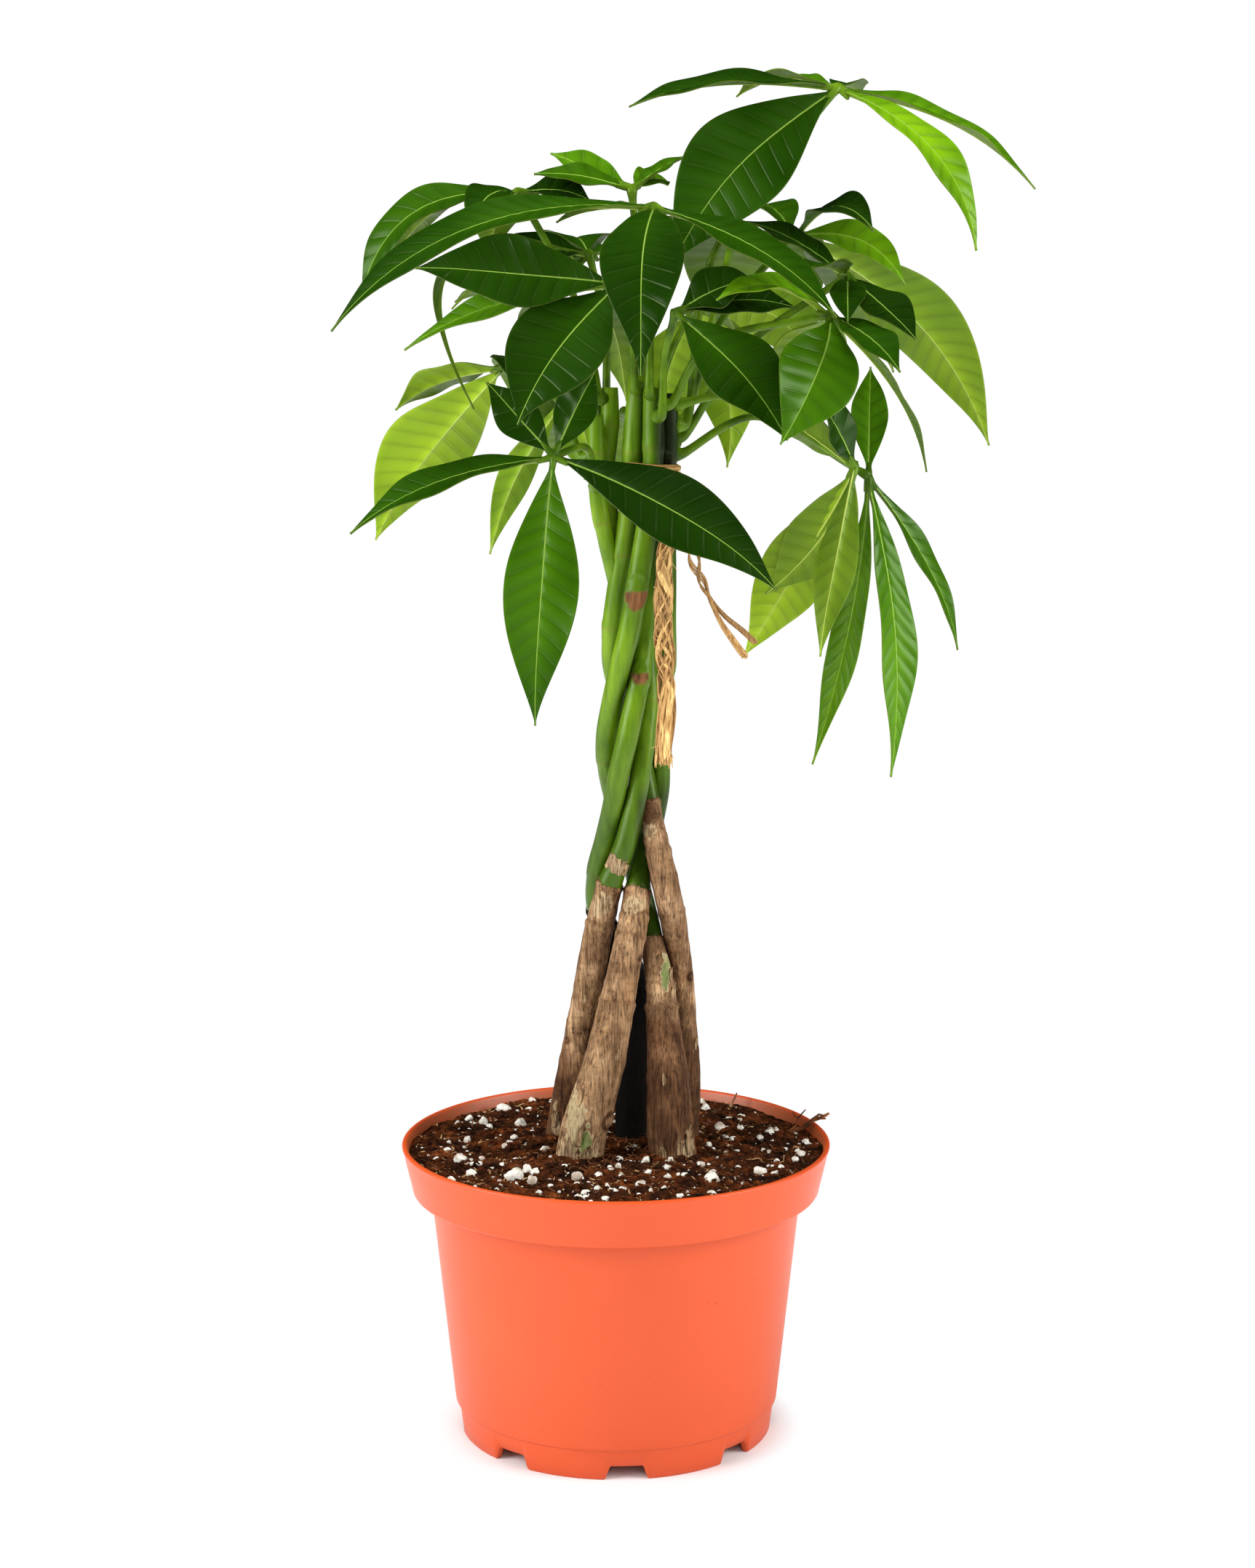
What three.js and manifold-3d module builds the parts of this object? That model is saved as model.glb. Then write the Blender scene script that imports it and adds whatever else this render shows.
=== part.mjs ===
// A potted money tree: five stems plaited as they grew, in a plain nursery pot of soil.
// Millimetres, +Z up. The plant is drawn round the pot's own axis with the viewer at -Y,
// and the finished group is shifted so that its origin is under the middle of its spread.
import * as THREE from "three";
import { mergeVertices } from "three/addons/utils/BufferGeometryUtils.js";
import Module from "manifold-3d";

const wasm = await Module();
wasm.setup();

// ---------- driving dimensions ----------

const GAP = 0.35; // clearance left between pieces that touch

const POT = {
  rimRadius: 82.5,
  rimHeight: 114.2,
  bandBottom: 95, // underside of the collar band
  bandRadius: 78.4, // collar band at its lower edge
  bodyTopRadius: 71.4,
  seamHeight: 12, // moulding step above the foot
  seamRadius: 62.6,
  footRadius: 60.2,
  step: 0.9, // how far the foot sits in from the seam
  wall: 1.8,
  lip: 0.7, // rounding of the rim
  floorUnder: 3, // the floor stands this far above the table
  floorThick: 2,
  sides: 40,
};

const NOTCH = { count: 8, firstAngle: -86, wideTop: 12, wideBottom: 17, high: 5.3, depth: 9 };

const SOIL = { rings: 6, spokes: 30, front: 111.5, back: 106.5, bump: 1.1, seed: 7, hole: 0.45 };
const PERLITE = {
  count: 26,
  smallest: 1.3,
  largest: 3.2,
  seed: 21,
  shape: [1.1, 0.9, 0.85],
  fromWall: 5, // a lump's middle stays this far from the pot's wall
  fromTrunk: 1.2, // and a lump's side this far from a trunk
  innermost: 0.16, // share of the soil's area round the middle that has none
};

// Steps along and sides round each kind of tube.
const TUBE = {
  bark: [11, 11],
  green: [16, 8],
  shoot: [6, 7],
  hole: [3, 11],
  longTail: [18, 8],
  shortTail: [12, 8],
};

// Each stem follows its own points [x, y, z, radius] from the soil to the cut top.
// bark is the height where the brown bark ends and the green stem goes on.
const STEMS = {
  a: {
    bark: 215,
    points: [
      [-23, 18, 90, 7.2], [-21.5, 16.5, 106, 7], [-17.3, 11.5, 133, 6.4], [-12.2, 6, 162, 5.9],
      [-7.8, 1.2, 190, 5.4], [-4.8, -1, 205, 5.1], [-2.3, -2.4, 215, 4.7], [0.8, -3.6, 223, 3.9],
      [4, -4.4, 232, 3.9], [7.2, -4, 246, 3.9], [9.4, -2.6, 258, 3.8], [11.2, 0.2, 271, 3.8],
      [12.4, 4.3, 285, 3.8], [11.7, 8.4, 299, 3.8], [10.8, 11.2, 313, 3.8], [10.6, 12.2, 327, 3.8],
      [10.6, 12.5, 345, 3.8], [10.4, 12.4, 371, 3.8], [10.2, 12.4, 394, 3.8],
    ],
  },
  b: {
    bark: 213,
    points: [
      [-14.6, -13, 90, 9.2], [-14.3, -13, 106, 9.1], [-12.4, -12.4, 120, 8.9], [-8.6, -11.8, 133, 8.6],
      [-4.4, -11.2, 148, 7.9], [-1.3, -10.4, 162, 7.3], [1.8, -9.2, 176, 6.6], [4.6, -7.6, 190, 6],
      [7, -5.2, 203, 5.5], [8.3, -2.2, 213, 4.8], [9.8, 2.2, 221, 3.9], [12.4, 6.6, 231, 3.9],
      [14.8, 9.8, 240, 3.9], [16.6, 11.4, 250, 3.9], [16.8, 11.9, 262, 3.9], [17.6, 12.3, 285, 3.8],
      [19, 12.6, 299, 3.8], [19, 9.8, 315, 3.8], [19.1, 10, 330, 3.8], [18.8, 10.6, 354, 3.8],
      [18.6, 10.4, 371, 3.8], [18.8, 10.4, 392, 3.8],
    ],
  },
  c: {
    bark: 193,
    points: [
      [22.4, -10.6, 90, 9.2], [22.1, -10.4, 106, 9.1], [20.9, -9.8, 120, 8.9], [20.2, -9.2, 133, 8.4],
      [19.4, -8.2, 148, 7.6], [18, -6, 162, 6.6], [16.8, -3.6, 176, 5.5], [14.3, -0.2, 189, 4.6],
      [11.2, 6, 204, 4.1], [7.3, 10.6, 218, 3.9], [3.4, 12.6, 231, 3.9], [-0.4, 11.2, 245, 3.9],
      [-2.9, 6.8, 258, 3.9], [-3.4, 2.6, 271, 3.9], [-1.4, -1.6, 284, 3.9], [1.6, -4.8, 298, 3.9],
      [5.2, -6.2, 313, 3.9], [7.7, -6.6, 327, 3.9], [9.9, -6.4, 340, 3.9], [12, -5.7, 354, 3.8],
      [13.8, -5, 371, 3.8], [14.1, -5, 402, 3.8],
    ],
  },
  d: {
    bark: 246,
    points: [
      [25.6, 17.6, 90, 6.4], [26, 16.6, 106, 6], [27.4, 13.2, 133, 5.2], [27.2, 10.6, 148, 4.8],
      [26.3, 7.8, 162, 4.6], [25.2, 5, 176, 4.6], [23.5, 2, 190, 4.6], [21.2, -2, 204, 4.9],
      [18.3, -4, 218, 5.2], [15.6, -2.8, 231, 4.8], [14.1, -0.6, 239, 4.2], [12.9, 2.6, 246, 3.6],
      [10.4, 6.6, 258, 3.8], [6.4, 9.4, 271, 3.9], [2, 9.6, 285, 3.9], [-1.2, 6.4, 299, 3.9],
      [-0.8, 4.2, 313, 3.9], [0.8, 3.2, 327, 3.9], [3, 2, 340, 3.9], [4.9, 1.2, 354, 3.9],
      [6.3, 1, 372, 3.9], [7.4, 1, 390, 3.9], [8.9, 1, 406, 3.8],
    ],
  },
  e: {
    bark: 203,
    points: [
      [6.4, 13.2, 90, 7], [6.4, 13.2, 106, 7], [7.2, 13.6, 133, 7.2], [7.6, 13.8, 150, 7.2],
      [6.6, 13.8, 162, 7], [3.4, 13.4, 176, 6.4], [-1.2, 12.6, 188, 5.4],
      [-7.2, 10.4, 204, 4.1], [-6.9, 6.6, 218, 4], [-4, 2.2, 231, 4],
      [-1.2, -3, 244, 4], [1.2, -6, 258, 4], [4.2, -7.2, 271, 4], [7.2, -6, 285, 3.9],
      [8.6, -3.4, 292, 3.9], [9.7, 0, 299, 3.9], [11.5, 2.8, 313, 3.9], [13.2, 3, 327, 3.8],
      [14.9, 2.8, 340, 3.8], [16.7, 2.3, 354, 3.8], [18.6, 2, 371, 3.8], [19.2, 1.8, 384, 3.8],
      [19.4, 1.7, 400, 3.8],
    ],
  },
};

// Two green side shoots that leave stem d below its top.
const SHOOTS = {
  shoot_1: {
    stem: "d",
    points: [[0, 3.4, 330, 3], [-3.4, 1.6, 345, 3.1], [-6.6, 0.4, 362, 3], [-7.4, 0, 392, 2.8]],
  },
  shoot_2: {
    stem: "d",
    points: [
      [1.4, 4, 334, 3], [-1.6, 7.6, 350, 3.1], [-3.8, 9, 368, 3.1], [-2.2, 8, 386, 3.2], [-2.2, 8, 402, 3],
    ],
  },
};

// thick is the blade's own thickness, fold how far its edges rise, stem and tip its least half widths.
// The outline is a sine whose widest place is moved along by shift, sharpened by power, and drawn in
// towards the tip by taper.
const BLADE = {
  thick: 0.8,
  fold: 0.16,
  stem: 1.1,
  tip: 0.45,
  shift: 1.1,
  power: 1.15,
  taper: 0.35,
  fullness: 1.04,
  stations: [0, 0.17, 0.38, 0.6, 0.82, 1],
};
const PETIOLE = { foot: 2.1, thin: 1.35, sides: 5, steps: 6, knob: 2.4, clear: 0.8, out: 2.5, rise: 0.6 };

// Which way a blade's upper side looks.
const UP = [0, 0, 1];
const FRONT = [0, -1, 0.35];
const TILTED = [0, -0.6, 1]; // leans to the viewer
const AWAY = [0, 0.9, 0.6]; // shows its underside to the viewer

// One entry for each hand-shaped leaf. at is where its stalk leaves the stem, via the points the
// stalk passes, hub the point the leaflets spread from. A leaflet runs to its tip and is so wide;
// bow lifts the middle of its rib, and side swings it.
const LEAVES = [
  {
    name: "leaf_top_right", stem: "e", at: 388, via: [[36, 7, 450]], hub: [82, 10, 512],
    leaflets: [
      { tip: [5, 0, 504], wide: 26, bow: 4, face: [0, -0.25, 1] },
      { tip: [46, 46, 511], wide: 18, bow: 5, face: UP },
      { tip: [21, -7, 447], wide: 38, bow: 4.5, face: [-0.2, -1, 0.3] },
      { tip: [95, 74, 513], wide: 14, bow: 2, face: UP },
      { tip: [159, 35, 476], wide: 24, bow: 6.5, face: [0, -0.35, 1] },
      { tip: [132, -8, 452], wide: 18, bow: 11, face: [0.5, -0.7, 0.6] },
    ],
  },
  {
    name: "leaf_right_high", stem: "b", at: 389.5, via: [[38, 16, 424]], hub: [67, 22, 459],
    leaflets: [
      { tip: [50, 58, 467], wide: 22, bow: 6, face: UP },
      { tip: [94, -12, 459], wide: 20, bow: 9, face: [0, -0.55, 1] },
      { tip: [108, 12, 440], wide: 15, bow: 7, face: [0.3, -0.8, 0.5] },
      { tip: [147, 65, 378], wide: 30, bow: 11, face: [0.3, 1, 0.5] },
      { tip: [112, 100, 406], wide: 30, bow: 8, face: UP },
    ],
  },
  {
    name: "leaf_right_middle", stem: "b", at: 383.5, via: [[46, 1, 415]], hub: [85, -10, 443],
    leaflets: [
      { tip: [46, 3, 463], wide: 17, bow: 2, face: [0, -0.3, 1] },
      { tip: [70, -28, 445], wide: 20, bow: 2, face: UP },
      { tip: [107, -45, 420], wide: 19, bow: 1, face: [0.1, -0.5, 1] },
      { tip: [83, -40, 426], wide: 13, bow: 2, face: UP },
    ],
  },
  {
    name: "leaf_right_front", stem: "c", at: 396, via: [[34, -14, 418]], hub: [78, -27, 429],
    leaflets: [
      { tip: [36, -42, 434], wide: 20, bow: 7, face: [0, -0.35, 1] },
      { tip: [58, -65, 384], wide: 29, bow: 2, face: [0.2, -1, 0.3], side: 6 },
      { tip: [100, -60, 409], wide: 17, bow: 2, face: [0.2, -0.6, 0.8] },
      { tip: [114, -20, 372], wide: 14, bow: 5, face: [1, 0, 0.5] },
      { tip: [66, 30, 392], wide: 28, bow: 4, face: UP },
    ],
  },
  {
    name: "leaf_crown", stem: "c", at: 400, via: [[13, -10, 432]], hub: [14, -15, 468],
    leaflets: [
      { tip: [9, -76, 408], wide: 29, bow: 14, face: UP },
      { tip: [-101, -42, 423], wide: 24, bow: 15, face: [0, -0.45, 1] },
      { tip: [78, -53, 428], wide: 20, bow: 5, face: [0.1, -0.5, 1] },
      { tip: [-22, 16, 463], wide: 16, bow: 2, face: UP },
    ],
  },
  {
    name: "leaf_young", stem: "d", at: 404, via: [[9, 4, 440]], hub: [6, 5, 475],
    leaflets: [
      { tip: [-24, 13, 488], wide: 13, bow: 0.5, face: [0, -0.8, 0.6] },
      { tip: [-30, 3, 480], wide: 12, bow: 1.5, face: [0, -0.6, 0.8] },
      { tip: [20, 30, 478], wide: 13, bow: 2, face: [0, -0.8, 0.7] },
      { tip: [28, 26, 488], wide: 12, bow: 1, face: UP },
    ],
  },
  {
    name: "leaf_left_high", stem: "shoot_2", at: 398, via: [[-14, 2, 432]], hub: [-36, 5, 474],
    leaflets: [
      { tip: [-94, 2, 436], wide: 22, bow: 13, face: [-0.2, -0.6, 1] },
      { tip: [-9, 3, 470], wide: 17, bow: 2, face: TILTED },
      { tip: [-52, -16, 459], wide: 16, bow: 6, face: TILTED },
      { tip: [-50, 68, 450], wide: 28, bow: 9, face: UP },
      { tip: [-86, 46, 450], wide: 26, bow: 8, face: UP },
    ],
  },
  {
    name: "leaf_left_front", stem: "d", at: 402, via: [[6, -12, 424]], hub: [1, -33, 440],
    leaflets: [
      { tip: [-70, -53, 445], wide: 28, bow: 1, face: [0, -1, 0.55] },
      { tip: [-34, -66, 391], wide: 36, bow: 3, face: [-0.2, -1, 0.5] },
      { tip: [-78, -2, 416], wide: 16, bow: 4, face: [0, -0.6, 0.8] },
    ],
  },
  {
    name: "leaf_centre", stem: "c", at: 392, via: [[18, -14, 414]], hub: [22, -24, 430],
    leaflets: [
      { tip: [51, -22, 441], wide: 20, bow: 2, face: [0, -0.8, 0.8] },
      { tip: [66, -18, 431], wide: 18, bow: 3, face: [0, -0.7, 0.8] },
      { tip: [61, -55, 385], wide: 28, bow: 2, face: [0.2, -1, 0.5] },
    ],
  },
  {
    name: "leaf_back_right_low", stem: "a", at: 386, via: [[20, 32, 412]], hub: [30, 46, 432],
    leaflets: [
      { tip: [44, 72, 369], wide: 26, bow: 14, face: AWAY },
      { tip: [22, 62, 373], wide: 24, bow: 12, face: AWAY },
      { tip: [78, 62, 404], wide: 28, bow: 12, face: AWAY },
      { tip: [52, 92, 402], wide: 28, bow: 14, face: UP },
    ],
  },
  {
    name: "leaf_left_middle", stem: "shoot_1", at: 376, via: [[-22, 6, 398]], hub: [-42, 10, 410],
    leaflets: [
      { tip: [-84, 30, 393], wide: 18, bow: 3, face: [0, 0.5, 1] },
      { tip: [-94, 50, 342], wide: 35, bow: 3, face: [-0.3, 1, 0.6] },
      { tip: [-33, -20, 399], wide: 20, bow: 8, face: UP },
      { tip: [-30, 72, 378], wide: 28, bow: 15, face: UP },
    ],
  },
  {
    name: "leaf_low_front", stem: "shoot_1", at: 366, via: [[-10, -16, 380]], hub: [-22, -45, 379],
    leaflets: [
      { tip: [-94, -56, 352], wide: 20, bow: 5, face: [0, -0.4, 1] },
      { tip: [-28, -76, 286], wide: 26, bow: 7, face: FRONT },
      { tip: [57, -70, 333], wide: 26, bow: 5, face: [0.2, -1, 0.4] },
      { tip: [-46, -40, 405], wide: 16, bow: 0, face: [-0.3, -0.6, 0.6] },
      { tip: [-7, -32, 409], wide: 15, bow: 0, face: [0.3, -0.6, 0.6] },
    ],
  },
  {
    name: "leaf_low_right", stem: "b", at: 377, via: [[52, 13, 391]], hub: [95, 8, 369],
    leaflets: [
      { tip: [98, 42, 409], wide: 14, bow: 1, face: [0, -1, 0.5] },
      { tip: [131, 20, 302], wide: 14, bow: 4, face: [0.9, -0.6, 0.4] },
      { tip: [103, -14, 258], wide: 18, bow: 3, face: [0.6, -0.7, 0.3], side: 3 },
      { tip: [76, 24, 257], wide: 15, bow: -2, face: [-0.5, -0.7, 0.3], side: -5 },
    ],
  },
  {
    name: "leaf_low_right_front", stem: "e", at: 396, via: [[44, -7, 399]], hub: [88, -18, 374],
    leaflets: [
      { tip: [57, 15, 324], wide: 24, bow: -3, face: [0, 1, 0.3], side: -4 },
      { tip: [50, 44, 297], wide: 26, bow: -3, face: [0, 1, 0] },
      { tip: [74, -46, 307], wide: 15, bow: 2, face: [0.3, 0.9, 0.3] },
      { tip: [49, -12, 399], wide: 20, bow: 1, face: [0, 0.6, 0.8] },
      { tip: [72, -42, 398], wide: 18, bow: 2, face: [0.2, -0.8, 0.5] },
    ],
  },
  {
    name: "leaf_left_inner", stem: "shoot_2", at: 390, via: [[-4, 17, 424]], hub: [-10, 22, 452],
    leaflets: [
      { tip: [-45, 12, 440], wide: 26, bow: 6, face: TILTED },
      { tip: [-53, 8, 394], wide: 17, bow: 38, face: [-1, 0, 0.4] },
      { tip: [-62, 24, 431], wide: 14, bow: 5, face: UP },
      { tip: [-22, 88, 438], wide: 30, bow: 12, face: UP },
      { tip: [16, 56, 430], wide: 26, bow: 12, face: UP },
    ],
  },
  {
    name: "leaf_back_left", stem: "shoot_2", at: 382, via: [[-8, 26, 408]], hub: [-15, 46, 430],
    leaflets: [
      { tip: [-64, 82, 434], wide: 30, bow: 5, face: UP },
      { tip: [-28, 118, 392], wide: 30, bow: 17, face: UP },
      { tip: [4, 122, 394], wide: 34, bow: 17, face: UP },
    ],
  },
  {
    name: "leaf_back_right", stem: "b", at: 380, via: [[36, 34, 424]], hub: [45, 52, 458],
    leaflets: [
      { tip: [80, 110, 424], wide: 32, bow: 16, face: UP },
      { tip: [42, 132, 416], wide: 34, bow: 17, face: UP },
      { tip: [10, 98, 440], wide: 28, bow: 14, face: UP },
    ],
  },
  {
    name: "leaf_back_low", stem: "a", at: 378, via: [[10, 28, 390]], hub: [3, 42, 392],
    leaflets: [
      { tip: [-28, 86, 372], wide: 28, bow: 2, face: UP },
      { tip: [-4, 110, 350], wide: 32, bow: 12, face: UP },
    ],
  },
  {
    name: "leaf_left_back_low", stem: "shoot_1", at: 386, via: [[-12, 18, 398]], hub: [-20, 26, 398],
    leaflets: [
      { tip: [-49, 42, 337], wide: 13, bow: 2, face: AWAY },
      { tip: [-12, 36, 366], wide: 24, bow: 6, face: AWAY },
    ],
  },
];

const TIE = {
  bandHeight: 370,
  bandThick: 1.6,
  bandWide: 6,
  bandClear: 0.85, // left round the stems it holds
  bandSides: 16,
  knot: [22.4, -5.6, 367.5, 4.1],
  tailLong: [
    [21.6, -8.6, 361.6, 2.4], [20.4, -11.4, 354, 2.8], [18.4, -12.4, 342, 3.4], [17.8, -12.6, 328, 3.6],
    [17.8, -12.4, 313, 3.7], [18.2, -11.8, 300, 3.8], [19.2, -11.2, 286, 3.8], [18.4, -10.8, 270, 3.4],
    [17.6, -10.6, 256, 3],
  ],
  tailShort: [
    [26.2, -7.4, 361.8, 1.7], [27.8, -9, 350, 1.8], [29.8, -10, 337, 2], [34, -11, 327, 2.1],
    [38.4, -11, 318, 2.2], [43, -10.6, 308, 2.2], [48, -10, 299, 2.2],
  ],
};

const COLOURS = {
  pot: [0xf2643a, 0.42],
  soil: [0x35231a, 0.95],
  bark: [0x8d7761, 0.88],
  green: [0x5f9a33, 0.45],
  leaf: [0x2f6d1c, 0.38],
  raffia: [0xc39a63, 0.8],
};

// ---------- vectors, seeded numbers and solids ----------

const vec = (p) => new THREE.Vector3(p[0], p[1], p[2]);

function randomFrom(seed) {
  let state = seed;
  return () => {
    state = (state * 1664525 + 1013904223) % 4294967296;
    return state / 4294967296;
  };
}

function solidOf(geometry) {
  const bare = geometry.clone();
  bare.deleteAttribute("normal");
  bare.deleteAttribute("uv");
  const merged = mergeVertices(bare, 1e-4);
  return new wasm.Manifold(new wasm.Mesh({
    numProp: 3,
    vertProperties: new Float32Array(merged.attributes.position.array),
    triVerts: new Uint32Array(merged.index.array),
  }));
}

function geometryOf(solid) {
  const { vertProperties, triVerts } = solid.getMesh();
  const geometry = new THREE.BufferGeometry();
  geometry.setAttribute("position", new THREE.BufferAttribute(new Float32Array(vertProperties), 3));
  geometry.setIndex(new THREE.BufferAttribute(new Uint32Array(triVerts), 1));
  geometry.computeVertexNormals();
  return geometry;
}

// A closed solid through rings that all have the same number of points, capped at both ends.
function loft(rings) {
  const count = rings[0].length;
  const positions = rings.flat().flatMap((p) => [p.x, p.y, p.z]);
  const index = [];
  for (let i = 0; i + 1 < rings.length; i++) {
    for (let j = 0; j < count; j++) {
      const a = i * count + j;
      const b = i * count + ((j + 1) % count);
      index.push(a, b, a + count, b, b + count, a + count);
    }
  }
  const last = (rings.length - 1) * count;
  for (let j = 1; j + 1 < count; j++) {
    index.push(0, j + 1, j);
    index.push(last, last + j, last + j + 1);
  }
  const geometry = new THREE.BufferGeometry();
  geometry.setAttribute("position", new THREE.Float32BufferAttribute(positions, 3));
  geometry.setIndex(index);
  return geometry;
}

// Point and radius on a smooth line through [x, y, z, radius] points.
function smoothLine(points) {
  const curve = new THREE.CatmullRomCurve3(points.map(vec), false, "centripetal");
  const at = (t) => {
    const span = Math.min(points.length - 2, Math.floor(t * (points.length - 1)));
    const share = t * (points.length - 1) - span;
    return {
      centre: curve.getPoint(t),
      along: curve.getTangent(t),
      radius: THREE.MathUtils.lerp(points[span][3], points[span + 1][3], share),
    };
  };
  return { at };
}

// The same line's place where it crosses a height, for lines that climb all the way.
function atHeight(line, height) {
  let low = 0;
  let high = 1;
  for (let i = 0; i < 40; i++) {
    const middle = (low + high) / 2;
    if (line.at(middle).centre.z < height) low = middle;
    else high = middle;
  }
  return low;
}

// A tube of changing radius along the line from one share of its length to another.
function tube(line, from, to, steps, sides, grow = 0) {
  const places = [];
  for (let i = 0; i <= steps; i++) places.push(line.at(THREE.MathUtils.lerp(from, to, i / steps)));
  const rings = [];
  let across = new THREE.Vector3(1, 0, 0);
  places.forEach((place) => {
    const along = place.along;
    if (Math.abs(across.dot(along)) > 0.95) across = new THREE.Vector3(0, 1, 0);
    across = across.clone().addScaledVector(along, -across.dot(along)).normalize();
    const up = along.clone().cross(across);
    const ring = [];
    for (let j = 0; j < sides; j++) {
      const angle = (j / sides) * 2 * Math.PI;
      ring.push(place.centre.clone()
        .addScaledVector(across, Math.cos(angle) * (place.radius + grow))
        .addScaledVector(up, Math.sin(angle) * (place.radius + grow)));
    }
    rings.push(ring);
  });
  return loft(rings);
}

const group = new THREE.Group();
group.name = "money_tree";

function add(name, geometry, colour) {
  const [color, roughness] = COLOURS[colour];
  const mesh = new THREE.Mesh(geometry, new THREE.MeshStandardMaterial({ color, roughness, metalness: 0 }));
  mesh.name = name;
  group.add(mesh);
  return mesh;
}

// ---------- pot ----------

// The outer wall's radius at a height, below the collar band.
function bodyRadius(z) {
  const share = (z - POT.seamHeight) / (POT.bandBottom - POT.seamHeight);
  return THREE.MathUtils.lerp(POT.seamRadius, POT.bodyTopRadius, share);
}

function potProfile() {
  const { rimRadius, rimHeight, bandBottom, bandRadius, seamHeight, footRadius, step, wall, lip } = POT;
  const floorTop = POT.floorUnder + POT.floorThick;
  return [
    [0, POT.floorUnder],
    [footRadius - 3.2, POT.floorUnder],
    [footRadius - 2.6, 0],
    [footRadius, 0],
    [bodyRadius(seamHeight) - step, seamHeight - 0.6],
    [bodyRadius(seamHeight), seamHeight + 0.6],
    [bodyRadius(bandBottom), bandBottom + 0.4],
    [bandRadius - 1.2, bandBottom],
    [bandRadius, bandBottom + 1.4],
    [rimRadius - lip, rimHeight - 2.2],
    [rimRadius, rimHeight - 1],
    [rimRadius - lip, rimHeight],
    [rimRadius - wall + 0.2, rimHeight - 0.3],
    [bandRadius - wall, bandBottom + 3.6],
    [bodyRadius(bandBottom) - wall + 0.4, bandBottom + 1.6],
    [bodyRadius(bandBottom) - wall, bandBottom - 1],
    [bodyRadius(seamHeight) - wall, seamHeight + 2],
    [footRadius - wall, floorTop],
    [0, floorTop],
  ].map(([r, z]) => new THREE.Vector2(r, z));
}

// A lathe's own axis is Y, so it is stood up along Z.
function lathe(profile, sides) {
  return new THREE.LatheGeometry(profile, sides).rotateX(Math.PI / 2);
}

function buildPot() {
  let pot = solidOf(lathe(potProfile(), POT.sides));
  for (let i = 0; i < NOTCH.count; i++) {
    const shape = new THREE.Shape([
      new THREE.Vector2(-NOTCH.wideBottom / 2, -1),
      new THREE.Vector2(NOTCH.wideBottom / 2, -1),
      new THREE.Vector2(NOTCH.wideTop / 2, NOTCH.high),
      new THREE.Vector2(-NOTCH.wideTop / 2, NOTCH.high),
    ]);
    const cutter = new THREE.ExtrudeGeometry(shape, { depth: NOTCH.depth, bevelEnabled: false })
      .rotateX(Math.PI / 2)
      .translate(0, POT.footRadius + 3, 0)
      .rotateZ(THREE.MathUtils.degToRad(NOTCH.firstAngle - 90 + (i * 360) / NOTCH.count));
    pot = pot.subtract(solidOf(cutter));
  }
  add("pot", geometryOf(pot), "pot");
}

// ---------- stems ----------

const lines = {};
for (const [key, stem] of Object.entries(STEMS)) lines[key] = smoothLine(stem.points);
for (const [key, shoot] of Object.entries(SHOOTS)) lines[key] = smoothLine(shoot.points);

function buildStems() {
  for (const [key, stem] of Object.entries(STEMS)) {
    const line = lines[key];
    const split = atHeight(line, stem.bark);
    const above = atHeight(line, stem.bark + GAP);
    add(`trunk_${key}`, tube(line, 0, split, ...TUBE.bark), "bark");
    let green = solidOf(tube(line, above, 1, ...TUBE.green));
    for (const [name, shoot] of Object.entries(SHOOTS)) {
      if (shoot.stem === key) green = green.add(solidOf(tube(lines[name], 0, 1, ...TUBE.shoot)));
    }
    add(`stem_${key}`, geometryOf(green), "green");
  }
}

// ---------- soil ----------

// The soil is heaped to the front and lower at the back, with small bumps.
function soilHeight(x, y, random) {
  const share = (y + POT.rimRadius) / (2 * POT.rimRadius);
  return THREE.MathUtils.lerp(SOIL.front, SOIL.back, share) + (random() - 0.5) * 2 * SOIL.bump;
}

function insideRadius(z) {
  const share = (z - POT.bandBottom - 3.6) / (POT.rimHeight - POT.bandBottom - 3.9);
  return THREE.MathUtils.lerp(POT.bandRadius, POT.rimRadius + 0.2, share) - POT.wall - GAP - 0.35;
}

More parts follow.
